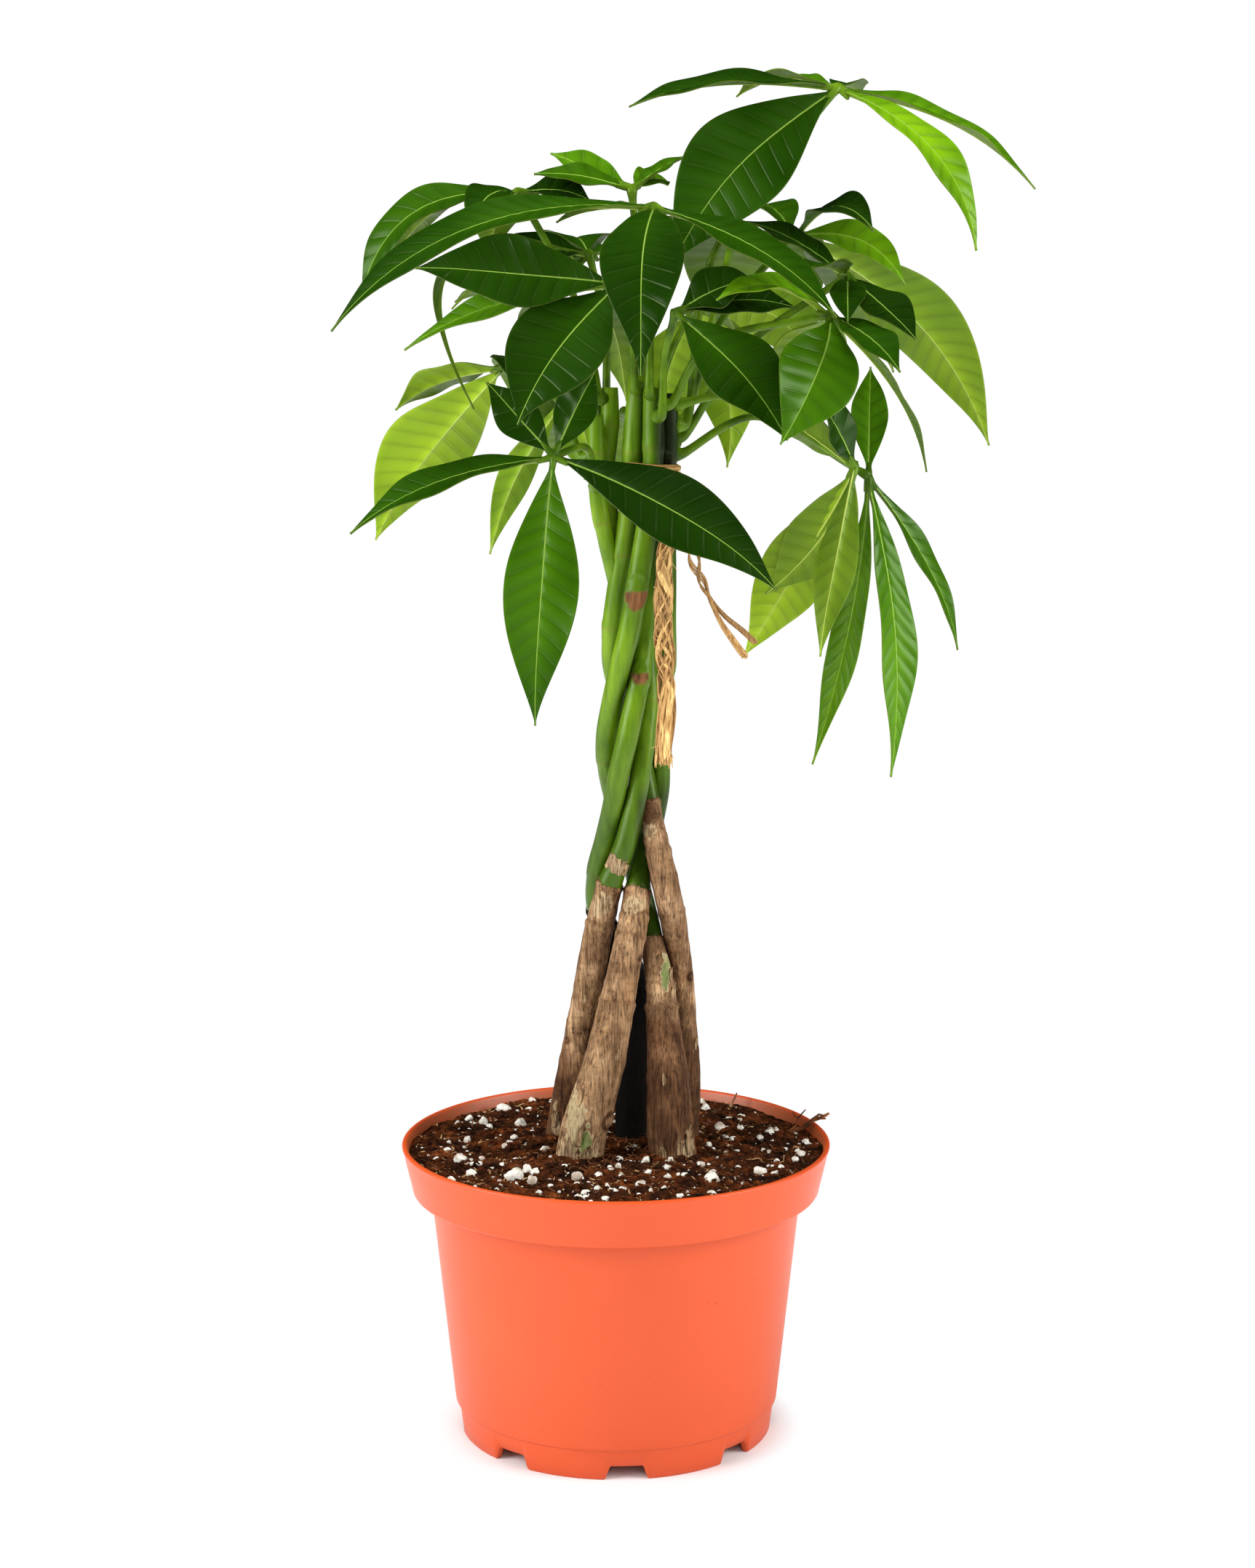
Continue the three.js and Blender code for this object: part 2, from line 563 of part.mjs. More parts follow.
function buildSoil() {
  const random = randomFrom(SOIL.seed);
  const floorTop = POT.floorUnder + POT.floorThick;
  const walls = [
    [POT.footRadius - POT.wall - 1.2, floorTop + GAP],
    [bodyRadius(POT.seamHeight) - POT.wall - 0.7, POT.seamHeight + 2.4],
    [bodyRadius(POT.bandBottom) - POT.wall - 0.7, POT.bandBottom + 2],
    [POT.bandRadius - POT.wall - 1, POT.bandBottom + 4.6],
  ];
  const rings = walls.map(([r, z]) => ring(r, () => z));
  for (let i = 0; i < SOIL.rings; i++) {
    const share = 1 - i / SOIL.rings;
    rings.push(ring(insideRadius(SOIL.back) * share, (x, y) => soilHeight(x, y, random)));
  }
  let soil = solidOf(loft(rings));
  for (const key of Object.keys(STEMS)) {
    const top = atHeight(lines[key], SOIL.front + 6);
    const hole = solidOf(tube(lines[key], 0, top, ...TUBE.hole, SOIL.hole));
    soil = soil.subtract(hole).subtract(hole.translate([0, 0, -SOIL.hole]));
  }
  const lump = randomFrom(PERLITE.seed);
  for (let i = 0; i < PERLITE.count; i++) {
    const radius = THREE.MathUtils.lerp(PERLITE.smallest, PERLITE.largest, lump() ** 2);
    const angle = lump() * 2 * Math.PI;
    const area = THREE.MathUtils.lerp(PERLITE.innermost, 1, lump());
    const out = (insideRadius(SOIL.back) - PERLITE.fromWall) * Math.sqrt(area);
    const [x, y] = [Math.cos(angle) * out, Math.sin(angle) * out];
    const stone = new THREE.OctahedronGeometry(radius, 0)
      .scale(...PERLITE.shape)
      .rotateZ(lump() * 6)
      .translate(x, y, soilHeight(x, y, () => 0.5));
    if (clearOfTrunks(x, y, radius)) soil = soil.add(solidOf(stone));
  }
  add("soil", geometryOf(soil), "soil");

  function ring(radius, heightAt) {
    const points = [];
    for (let j = 0; j < SOIL.spokes; j++) {
      const angle = (j / SOIL.spokes) * 2 * Math.PI;
      const [x, y] = [Math.cos(angle) * radius, Math.sin(angle) * radius];
      points.push(new THREE.Vector3(x, y, heightAt(x, y)));
    }
    return points;
  }

  function clearOfTrunks(x, y, radius) {
    return Object.values(STEMS).every((stem) => {
      const [fx, fy, , foot] = stem.points[1];
      return Math.hypot(x - fx, y - fy) > foot + radius + PERLITE.fromTrunk;
    });
  }
}

// ---------- leaves ----------

// Half of a leaflet's width at a share of its length: wedge-shaped foot, drawn-out tip.
function halfWidth(t, wide) {
  const s = t ** BLADE.shift;
  const swell = Math.sin(Math.PI * s) ** BLADE.power * (1 - BLADE.taper * s ** 4);
  const least = THREE.MathUtils.lerp(BLADE.stem, BLADE.tip, t);
  return Math.max(least, (wide / 2) * swell * BLADE.fullness);
}

// A thin arched blade from the hub to its tip, folded a little along its rib.
function blade(hub, { tip, wide, bow, face, side = 0 }) {
  const along = vec(tip).sub(vec(hub)).normalize();
  const start = vec(hub).addScaledVector(along, PETIOLE.knob * 0.6);
  const chord = vec(tip).sub(start);
  const lift = new THREE.Vector3(0, 0, 1).addScaledVector(along, -along.z).normalize();
  const swing = lift.clone().cross(along);
  const rings = BLADE.stations.map((t) => {
    const centre = start.clone()
      .addScaledVector(chord, t)
      .addScaledVector(lift, bow * 4 * t * (1 - t))
      .addScaledVector(swing, side * 4 * t * (1 - t));
    const tangent = chord.clone()
      .addScaledVector(lift, bow * 4 * (1 - 2 * t))
      .addScaledVector(swing, side * 4 * (1 - 2 * t))
      .normalize();
    const normal = vec(face).addScaledVector(tangent, -vec(face).dot(tangent)).normalize();
    const across = tangent.clone().cross(normal);
    const half = halfWidth(t, wide);
    const point = (u, v) => centre.clone()
      .addScaledVector(across, u * half)
      .addScaledVector(normal, v * BLADE.thick / 2 + Math.abs(u) * half * BLADE.fold);
    return [point(0, 1), point(1, 1), point(1, -1), point(0, -1), point(-1, -1), point(-1, 1)];
  });
  return loft(rings);
}

function buildLeaf(leaf) {
  const line = lines[leaf.stem];
  const root = line.at(atHeight(line, leaf.at));
  const first = vec(leaf.via[0]).sub(root.centre);
  first.z = 0;
  first.normalize();
  const foot = root.centre.clone().addScaledVector(first, root.radius + PETIOLE.clear);
  const out = foot.clone().addScaledVector(first, PETIOLE.out);
  const stalk = smoothLine([
    [foot.x, foot.y, foot.z, PETIOLE.foot],
    [out.x, out.y, out.z + PETIOLE.rise, PETIOLE.foot * 0.8],
    ...leaf.via.map((p) => [...p, PETIOLE.thin]),
    [...leaf.hub, PETIOLE.thin],
  ]);
  let solid = solidOf(tube(stalk, 0, 1, PETIOLE.steps, PETIOLE.sides));
  solid = solid.add(solidOf(new THREE.IcosahedronGeometry(PETIOLE.knob, 0).translate(...leaf.hub)));
  for (const leaflet of leaf.leaflets) solid = solid.add(solidOf(blade(leaf.hub, leaflet)));
  add(leaf.name, geometryOf(solid), "leaf");
}

// ---------- raffia tie ----------

function buildTie() {
  const held = Object.keys(STEMS).map((key) => lines[key].at(atHeight(lines[key], TIE.bandHeight)));
  const centre = new THREE.Vector3();
  held.forEach((place) => centre.addScaledVector(place.centre, 1 / held.length));
  const half = TIE.bandWide / 2;
  const section = [[0, -half], [TIE.bandThick, -half * 0.8], [TIE.bandThick, half * 0.8], [0, half]];
  const rings = [];
  for (let j = 0; j < TIE.bandSides; j++) {
    const angle = (j / TIE.bandSides) * 2 * Math.PI;
    const way = new THREE.Vector3(Math.cos(angle), Math.sin(angle), 0);
    const reach = hullReach(angle) + TIE.bandClear;
    rings.push(section.map(([out, up]) => (
      centre.clone().addScaledVector(way, reach + out).add(new THREE.Vector3(0, 0, up)))));
  }
  const [kx, ky, kz, kr] = TIE.knot;
  const knot = new THREE.IcosahedronGeometry(kr, 1).scale(1, 0.9, 1.1).translate(kx, ky, kz);
  add("tie_band", geometryOf(solidOf(closedRing(rings)).add(solidOf(knot))), "raffia");
  add("tie_tail_long", tube(smoothLine(TIE.tailLong), 0, 1, ...TUBE.longTail), "raffia");
  add("tie_tail_short", tube(smoothLine(TIE.tailShort), 0, 1, ...TUBE.shortTail), "raffia");

  // How far the taut band is from the bundle's centre, this way round.
  function hullReach(angle) {
    let reach = Infinity;
    for (let turn = -80; turn <= 80; turn += 2) {
      const other = angle + THREE.MathUtils.degToRad(turn);
      const way = new THREE.Vector3(Math.cos(other), Math.sin(other), 0);
      const support = Math.max(...held.map((p) => p.centre.clone().sub(centre).dot(way) + p.radius));
      reach = Math.min(reach, support / Math.cos(other - angle));
    }
    return reach;
  }
}

// A ring whose sections follow one another round and meet again.
function closedRing(rings) {
  const count = rings[0].length;
  const index = [];
  rings.forEach((_, i) => {
    const next = (i + 1) % rings.length;
    for (let j = 0; j < count; j++) {
      const k = (j + 1) % count;
      index.push(i * count + j, next * count + j, i * count + k);
      index.push(i * count + k, next * count + j, next * count + k);
    }
  });
  const geometry = new THREE.BufferGeometry();
  const positions = rings.flat().flatMap((p) => [p.x, p.y, p.z]);
  geometry.setAttribute("position", new THREE.Float32BufferAttribute(positions, 3));
  geometry.setIndex(index);
  return geometry;
}

buildPot();
buildStems();
buildSoil();
LEAVES.forEach(buildLeaf);
buildTie();

const spread = new THREE.Box3().setFromObject(group);
const middle = spread.getCenter(new THREE.Vector3());
group.position.set(-middle.x, -middle.y, -spread.min.z);
group.updateMatrixWorld(true);

export default group;
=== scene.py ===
# The looks of the potted money tree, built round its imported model, in metres.
# The plant is drawn in millimetres round the pot's own axis, with the viewer at -Y.
import math

import bpy
import numpy as np
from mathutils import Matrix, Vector, noise


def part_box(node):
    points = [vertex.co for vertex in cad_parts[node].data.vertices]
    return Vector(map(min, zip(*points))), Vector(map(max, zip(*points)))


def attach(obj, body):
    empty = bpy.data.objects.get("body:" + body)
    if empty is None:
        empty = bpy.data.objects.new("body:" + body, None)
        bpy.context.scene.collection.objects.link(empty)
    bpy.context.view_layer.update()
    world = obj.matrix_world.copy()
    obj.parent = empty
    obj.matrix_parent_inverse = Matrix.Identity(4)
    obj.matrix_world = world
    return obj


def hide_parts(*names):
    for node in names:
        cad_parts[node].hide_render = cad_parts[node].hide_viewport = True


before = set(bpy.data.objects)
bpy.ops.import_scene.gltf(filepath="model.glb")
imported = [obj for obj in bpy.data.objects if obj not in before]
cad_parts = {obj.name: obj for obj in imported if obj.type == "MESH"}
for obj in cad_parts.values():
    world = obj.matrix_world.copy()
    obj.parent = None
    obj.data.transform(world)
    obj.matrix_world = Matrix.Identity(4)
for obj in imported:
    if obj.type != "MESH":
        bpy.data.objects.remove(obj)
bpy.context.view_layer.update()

scene = bpy.context.scene


# ---------- nursery pot ----------
# A thin-walled pot moulded in one piece of orange polypropylene: a plain flared body, a deep
# collar band with a rolled lip, a shallow step above the foot and eight arched notches under it.

pot_low, pot_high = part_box("pot")
pot_axis = (pot_low + pot_high) / 2
POT_NOTCHES = 8
POT_COLUMNS_A_NOTCH = 36
POT_FIRST_NOTCH = -86  # degrees round the pot, where -90 faces the viewer
POT_NOTCH_HIGH = 5.3
POT_NOTCH_FLAT = 5.6  # degrees from a notch's middle to the end of its flat top
POT_NOTCH_EDGE = 8.1  # degrees from its middle to its foot
POT_FOOT_IN, POT_FOOT_OUT, POT_FOOT_HIGH = 57.5, 61, 7  # the ring that the notches cut
POT_FLOOR_UNDER = 5.8
POT_INNER_DARK_TOP, POT_INNER_DARK_FADE = 114.2, 1.6  # the inner wall is darker from just under the lip down
PLAIN = (1.0, 1.0, 1.0)  # a ramp colour that leaves what is under it as it is


def to_metres(points):
    """Points in millimetres round the pot's axis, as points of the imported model."""
    return np.asarray(points, float) * 0.001 + np.array([pot_axis.x, pot_axis.y, 0.0])


def join(parts):
    """Several (points, faces, values) put together."""
    points, faces, values = [], [], {}
    total = 0
    for more, more_faces, more_values in parts:
        points.append(more)
        faces += [tuple(i + total for i in face) for face in more_faces]
        total += len(more)
        for name, numbers in more_values.items():
            values.setdefault(name, []).append(numbers)
    return np.vstack(points), faces, {name: np.concatenate(numbers) for name, numbers in values.items()}


def add_piece(name, mesh):
    """A mesh as a piece on the frame."""
    piece = bpy.data.objects.new(name, mesh)
    scene.collection.objects.link(piece)
    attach(piece, "root")
    return piece


def make_piece(name, parts, material, node=None):
    """A finished piece from parts in millimetres: points, faces and named numbers on the points."""
    points, faces, values = join(parts)
    mesh = bpy.data.meshes.new(name)
    mesh.from_pydata(to_metres(points).tolist(), [], faces)
    mesh.shade_smooth()
    for key, numbers in values.items():
        layer = mesh.attributes.new(key, "FLOAT", "POINT")
        layer.data.foreach_set("value", np.asarray(numbers, np.float32))
    mesh.materials.append(material)
    piece = add_piece(name, mesh)
    if node:
        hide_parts(node)
    return piece


def grid_faces(rows, columns, start=0, closed=True, flip=False):
    """Quads between rows of points, round and shut when closed."""
    faces = []
    for i in range(rows - 1):
        for j in range(columns if closed else columns - 1):
            k = (j + 1) % columns
            a, b = start + i * columns + j, start + i * columns + k
            quad = (a, b, b + columns, a + columns)
            faces.append(quad[::-1] if flip else quad)
    return faces


def tube_faces(rows, columns):
    """Faces of a closed tube: rings of points, then the middle point of each end."""
    faces = grid_faces(rows, columns)
    last = (rows - 1) * columns
    for j in range(columns):
        k = (j + 1) % columns
        faces.append((rows * columns, k, j))
        faces.append((rows * columns + 1, last + j, last + k))
    return faces


def arc(centre, radius, first, last, count):
    """Profile points on part of a circle, angles in degrees."""
    turns = np.radians(np.linspace(first, last, count))
    return [(centre[0] + radius * math.cos(t), centre[1] + radius * math.sin(t)) for t in turns]


def give_sockets(group, inputs, output, output_kind):
    """Named inputs and one named output for a node group."""
    for label, kind in inputs.items():
        group.interface.new_socket(label, in_out="INPUT", socket_type=f"NodeSocket{kind}")
    group.interface.new_socket(output, in_out="OUTPUT", socket_type=f"NodeSocket{output_kind}")


class NodeMaker:
    """Short ways to add nodes to one tree and to join them."""

    def __init__(self, tree):
        self.tree = tree

    def fill(self, node, inputs):
        """Each input of a node joined to a socket or set to a value."""
        for key, value in inputs.items():
            if isinstance(value, bpy.types.NodeSocket):
                self.tree.links.new(value, node.inputs[key])
            else:
                node.inputs[key].default_value = value

    def add(self, kind, inputs=None, **settings):
        """A new node with its settings made and its inputs filled."""
        node = self.tree.nodes.new(kind)
        for key, value in settings.items():
            setattr(node, key, value)
        self.fill(node, inputs or {})
        return node

    def maths(self, kind, *values):
        """A product, sum or other function of values."""
        return self.add("ShaderNodeMath", dict(enumerate(values)), operation=kind).outputs[0]

    def span(self, value, low, high, first=0.0, last=1.0, kind="LINEAR"):
        """A value's way from low to high turned into the way from first to last."""
        inputs = {"Value": value, "From Min": low, "From Max": high, "To Min": first, "To Max": last}
        return self.add("ShaderNodeMapRange", inputs, interpolation_type=kind).outputs["Result"]


def grain_group():
    """Noise that can be drawn out along an axis, as a group that each material places."""
    group = bpy.data.node_groups.new("grain", "ShaderNodeTree")
    numbers = ("Scale", "Detail", "Roughness")
    inputs = {"Place": "Vector", "Stretch": "Vector", **dict.fromkeys(numbers, "Float")}
    give_sockets(group, inputs, "Mask", "Float")
    nodes = NodeMaker(group)
    given = nodes.add("NodeGroupInput").outputs
    drawn = nodes.add("ShaderNodeMapping", {"Vector": given["Place"], "Scale": given["Stretch"]})
    told = {label: given[label] for label in numbers}
    cloud = nodes.add("ShaderNodeTexNoise", {"Vector": drawn.outputs["Vector"], **told})
    nodes.add("NodeGroupOutput", {"Mask": cloud.outputs["Fac"]})
    return group


shared_grain = grain_group()


class Look(NodeMaker):
    """A new material, with short ways to its colours, masks and normals."""

    def __init__(self, name):
        self.material = bpy.data.materials.new(name)
        self.material.use_nodes = True
        super().__init__(self.material.node_tree)
        self.place = self.add("ShaderNodeTexCoord").outputs["Object"]

    def grain(self, scale, detail=2.0, roughness=0.5, stretch=(1.0, 1.0, 1.0)):
        """A mask from the shared grain."""
        inputs = {"Place": self.place, "Stretch": stretch, "Scale": scale, "Detail": detail,
                  "Roughness": roughness}
        return self.add("ShaderNodeGroup", inputs, node_tree=shared_grain).outputs["Mask"]

    def value(self, name):
        """A number that the mesh carries on its points."""
        return self.add("ShaderNodeAttribute", attribute_name=name).outputs["Fac"]

    def ramp(self, mask, *stops):
        """A colour ramp through (place, colour) stops over a mask."""
        node = self.add("ShaderNodeValToRGB", {"Fac": mask})
        while len(node.color_ramp.elements) < len(stops):
            node.color_ramp.elements.new(0.5)
        for element, (place, colour) in zip(node.color_ramp.elements, stops):
            element.position = place
            element.color = (*colour, 1)
        return node.outputs["Color"]

    def mix(self, factor, under, over, kind="MIX"):
        """One colour laid over another."""
        colours = {"Factor": factor, "A": under, "B": over}
        return self.add("ShaderNodeMix", colours, data_type="RGBA", blend_type=kind).outputs["Result"]

    def wash(self, under, strength, mask, *stops):
        """A colour multiplied by a ramp over a mask."""
        return self.mix(strength, under, self.ramp(mask, *stops), "MULTIPLY")

    def bump(self, mask, strength, distance, under=None):
        """A normal raised by a mask, over another normal if there is one."""
        raised = {"Height": mask, "Strength": strength, "Distance": distance}
        if under is not None:
            raised["Normal"] = under
        return self.add("ShaderNodeBump", raised).outputs["Normal"]

    def finish(self, inputs):
        """The material, once its shader's inputs are joined and set."""
        self.fill(self.tree.nodes["Principled BSDF"], inputs)
        return self.material


def pot_profile():
    """Radius and height from under the floor, out over foot, body, band and lip, and back inside."""
    rows = [(radius, POT_FLOOR_UNDER) for radius in (0.0, 30.0, 56.4)]
    rows += [(57.4, POT_FLOOR_UNDER - 0.5), (57.7, 0.4), (58.1, 0.0), (59.7, 0.0), (60.2, 0.5)]
    rows += [(60.9, 6.4), (61.55, 11.3), (61.75, 11.8), (62.3, 12.1), (62.65, 12.5), (62.75, 13.4)]
    rows += [(62.6 + 8.8 * (z - 12) / 83, z) for z in (16, 30, 46, 62, 78, 88, 92.6)]
    rows += [(71.6, 94.4), (72.4, 95.1), (74.0, 95.2), (76.4, 95.1)]
    rows += arc((76.7, 97.0), 1.9, -80, 0, 7)
    rows += [(79.4, 100.5), (80.7, 106.0), (81.7, 110.5), (82.0, 111.9)]
    rows += arc((81.5, 113.2), 1.0, -35, 150, 9)
    rows += [(80.3, 112.9), (79.3, 109.0), (77.9, 102.5), (76.7, 98.6), (75.6, 97.4), (71.0, 96.2)]
    rows += [(69.7, 95.0), (69.4, 92), (62.0, 22), (61.0, 14), (58.6, 8.0), (30.0, 7.8), (0.0, 7.8)]
    return np.array(rows)


def notch_lift(degrees):
    """How far the foot's lower edge is raised at an angle round the pot."""
    period = 360 / POT_NOTCHES
    away = abs((degrees - POT_FIRST_NOTCH + period / 2) % period - period / 2)
    share = np.clip((POT_NOTCH_EDGE - away) / (POT_NOTCH_EDGE - POT_NOTCH_FLAT), 0, 1)
    return POT_NOTCH_HIGH * share * share * (3 - 2 * share)


def build_pot():
    """The pot's shell, and how far each of its points takes the inner wall's darker colour."""
    near = np.concatenate([np.linspace(-9.2, -4.6, 10), np.linspace(-3.4, 3.4, 5), np.linspace(4.6, 9.2, 10)])
    far = np.linspace(10.4, 360 / POT_NOTCHES - 10.4, POT_COLUMNS_A_NOTCH - len(near))
    offsets = np.sort(np.concatenate([near, far]))
    turns = np.concatenate([POT_FIRST_NOTCH + i * 360 / POT_NOTCHES + offsets for i in range(POT_NOTCHES)])
    lift = notch_lift(turns)
    profile = pot_profile()
    lip = int(np.argmax(profile[:, 1]))
    rows, inner_dark = [], []
    for i, (radius, height) in enumerate(profile[1:-1]):
        inner_share = (POT_INNER_DARK_TOP - height) / POT_INNER_DARK_FADE if i > lip else 0.0
        inner_dark.append(np.full(len(turns), np.clip(inner_share, 0.0, 1.0)))
        z = np.full(len(turns), height)
        if POT_FOOT_IN < radius < POT_FOOT_OUT and height < POT_FOOT_HIGH:
            z = np.maximum(height, lift + height * (1 - lift / 12))
        rows.append(np.stack([radius * np.cos(np.radians(turns)), radius * np.sin(np.radians(turns)), z], 1))
    points = np.concatenate(rows + [[[0, 0, profile[0, 1]]], [[0, 0, profile[-1, 1]]]])
    return points, tube_faces(len(rows), len(turns)), {"inner_dark": np.concatenate(inner_dark + [[0.0, 1.0]])}


look = Look("pot_plastic")
cloud = look.grain(14.0, 3.0)
scuff = look.grain(420.0)
tone = look.ramp(cloud, (0.3, (0.60, 0.074, 0.012)), (0.7, (0.65, 0.084, 0.015)))
clean = look.wash(tone, 0.35, scuff, (0.22, (0.45, 0.20, 0.10)), (0.27, PLAIN))
# From just under the lip down, the inner wall is mixed towards a darker brownish orange, patchy with the
# scuff grain.
inner_darkening = look.maths("MULTIPLY", look.span(scuff, 0.3, 0.7, 0.55, 1.0), look.value("inner_dark"))
pot_plastic = look.finish({
    "Base Color": look.mix(inner_darkening, clean, (0.36, 0.105, 0.036, 1)),
    "Roughness": look.span(cloud, 0.0, 1.0, 0.36, 0.46),
    "Normal": look.bump(look.grain(900.0), 0.12, 0.0002),
    "Specular IOR Level": 0.4})
make_piece("pot_shell", [build_pot()], pot_plastic, "pot")


# ---------- soil ----------
# Dark peat, heaped to the front and lower at the back, pressed round the five trunks. Its surface
# is loose crumbs and fibres, with white perlite lumps lying all through it.

SOIL_FRONT = 111.5
SOIL_BACK = 110.0
SOIL_ACROSS = 165
SOIL_REACH = 79.3
SOIL_RINGS = 110
SOIL_SPOKES = 300
SOIL_UNDER = [(56, 9.6), (60, 16), (68.6, 93), (70.2, 97.2), (76, 99.4), (78.2, 104)]
GRAINS_FIELD, GRAINS_REACH = 78, 77.4
GRAINS_CLEAR = 1.2  # how far grains keep from a trunk
# Where each trunk comes out of the soil: x, y, radius.
TRUNK_FEET = [
    (-21.5, 16.5, 7.0), (-14.3, -13.0, 9.1), (22.1, -10.4, 9.1), (26.0, 16.6, 6.0), (6.4, 13.2, 7.0)]


def soil_height(x, y):
    """The surface's height with its heaps, hollows and crumbs."""
    share = (y + SOIL_ACROSS / 2) / SOIL_ACROSS
    height = SOIL_FRONT + (SOIL_BACK - SOIL_FRONT) * share
    heap = noise.noise(Vector((x, y, 3)) / 24) * 1.5
    crumb = noise.fractal(Vector((x, y, 9)) / 4.2, 0.6, 2.1, 4) * 0.85
    near = min(math.hypot(x - fx, y - fy) - r for fx, fy, r in TRUNK_FEET)
    return height + heap + crumb + 1.6 * math.exp(-max(near, 0) / 5)


def round_turns(count):
    """Even angles once round."""
    return np.linspace(0, 2 * math.pi, count, endpoint=False)


def build_soil():
    """A plug of peat that fills the pot, under a top of many rings."""
    turns = round_turns(SOIL_SPOKES)
    rows = [[(radius * math.cos(t), radius * math.sin(t), z) for t in turns] for radius, z in SOIL_UNDER]
    for share in np.linspace(1, 0.012, SOIL_RINGS):
        radius = SOIL_REACH * share
        ring = [(radius * math.cos(t), radius * math.sin(t)) for t in turns]
        rows.append([(x, y, soil_height(x, y)) for x, y in ring])
    ends = [(0, 0, SOIL_UNDER[0][1]), (0, 0, soil_height(0, 0))]
    return np.array(sum(rows, []) + ends), tube_faces(len(rows), SOIL_SPOKES), {}


look = Look("peat")
peat = look.finish({
    "Base Color": look.ramp(
        look.grain(130.0, 6.0, 0.7), (0.34, (0.006, 0.002, 0.001)), (0.46, (0.034, 0.010, 0.003)),
        (0.57, (0.095, 0.023, 0.005)), (0.72, (0.30, 0.080, 0.017))),
    "Normal": look.bump(look.grain(700.0, 6.0, 0.75), 0.9, 0.0012),
    "Roughness": 0.9,
    "Specular IOR Level": 0.1})
make_piece("soil_bed", [build_soil()], peat, "soil")

look = Look("perlite_white")
pits = look.grain(900.0, 4.0, 0.7)
clean = look.ramp(pits, (0.32, (0.42, 0.36, 0.28)), (0.46, (0.82, 0.79, 0.71)))
stain = look.grain(210.0, 3.0)
perlite_white = look.finish({
    "Base Color": look.wash(clean, 0.75, stain, (0.36, (0.42, 0.30, 0.20)), (0.50, PLAIN)),
    "Normal": look.bump(pits, 0.7, 0.0006),
    "Roughness": 0.85})

look = Look("peat_fibre")
straw = look.finish({
    "Base Color": look.ramp(
        look.grain(150.0, 1.0), (0.38, (0.10, 0.040, 0.014)), (0.52, (0.26, 0.12, 0.045)),
        (0.64, (0.50, 0.31, 0.14))),
    "Roughness": 0.75})

GRAIN_INPUTS = {"Grains a square metre": "Float", "Seed": "Int", "Smallest": "Float", "Largest": "Float",
                "Few large": "Float", "Length": "Float", "Flatness": "Float", "Roughness": "Float",
                "Facets": "Int", "Material": "Material"}
# Scattered grains: piece, slot, and a value in metres or a plain number for each of GRAIN_INPUTS.
GRAINS = [
    ("perlite_small", "perlite", (26000.0, 5, 0.0003, 0.0018, 3.0, 1.2, 0.75, 0.0022, 2, perlite_white)),
    ("peat_crumbs", "soil", (300000.0, 11, 0.0003, 0.0017, 2.0, 1.6, 0.6, 0.0016, 1, peat)),
    ("peat_fibres", "soil", (70000.0, 23, 0.00012, 0.00030, 1.5, 11.0, 0.9, 0.0022, 1, straw))]


def scatter_tree():
    """Grains of many sizes spread over a surface, each a small rough lump."""
    group = bpy.data.node_groups.new("scattered_grains", "GeometryNodeTree")
    give_sockets(group, {"Surface": "Geometry", **GRAIN_INPUTS}, "Grains", "Geometry")
    nodes = NodeMaker(group)
    given = nodes.add("NodeGroupInput").outputs
    spread = nodes.add("GeometryNodeDistributePointsOnFaces", {
        "Mesh": given["Surface"], "Density": given["Grains a square metre"], "Seed": given["Seed"]})
    lump = nodes.add("GeometryNodeMeshIcoSphere", {"Radius": 1, "Subdivisions": given["Facets"]})
    chance = nodes.add("FunctionNodeRandomValue", {"Seed": given["Seed"]}).outputs[1]
    rare = nodes.maths("POWER", chance, given["Few large"])
    size = nodes.span(rare, 0.0, 1.0, given["Smallest"], given["Largest"])
    form = nodes.add("ShaderNodeCombineXYZ", {0: given["Length"], 1: 1, 2: given["Flatness"]})
    scale = nodes.add("ShaderNodeVectorMath", {0: form.outputs[0], "Scale": size}, operation="SCALE")
    turn = nodes.add("FunctionNodeRandomValue", {
        0: (-0.6, -0.6, 0), 1: (0.6, 0.6, 6.28), "Seed": given["Seed"]}, data_type="FLOAT_VECTOR")
    put = nodes.add("GeometryNodeInstanceOnPoints", {
        "Points": spread.outputs["Points"], "Instance": lump.outputs["Mesh"], "Rotation": turn.outputs[0],
        "Scale": scale.outputs[0]})
    real = nodes.add("GeometryNodeRealizeInstances", {0: put.outputs[0]})
    rough = nodes.add("ShaderNodeTexNoise", {"Scale": 520, "Detail": 2}).outputs["Color"]
    less = nodes.add("ShaderNodeVectorMath", {0: rough, 1: (0.5, 0.5, 0.5)}, operation="SUBTRACT").outputs[0]
    push = nodes.add("ShaderNodeVectorMath", {0: less, "Scale": given["Roughness"]}, operation="SCALE")
    move = nodes.add("GeometryNodeSetPosition", {"Geometry": real.outputs[0], "Offset": push.outputs[0]})
    paint = nodes.add("GeometryNodeSetMaterial", {"Geometry": move.outputs[0], "Material": given["Material"]})
    nodes.add("NodeGroupOutput", {0: paint.outputs[0]})
    return group


def grow_over(name, surface, group, settings):
    """The plain mesh that a node tree makes over a surface, as a piece of its own."""
    modifier = surface.modifiers.new("grow", "NODES")
    modifier.node_group = group
    for item in group.interface.items_tree:
        if item.in_out == "INPUT" and item.name in settings:
            modifier[item.identifier] = settings[item.name]
    bpy.context.view_layer.update()
    shown = surface.evaluated_get(bpy.context.evaluated_depsgraph_get())
    mesh = bpy.data.meshes.new_from_object(shown)
    mesh.name = name
    surface.modifiers.remove(modifier)
    add_piece(name, mesh)


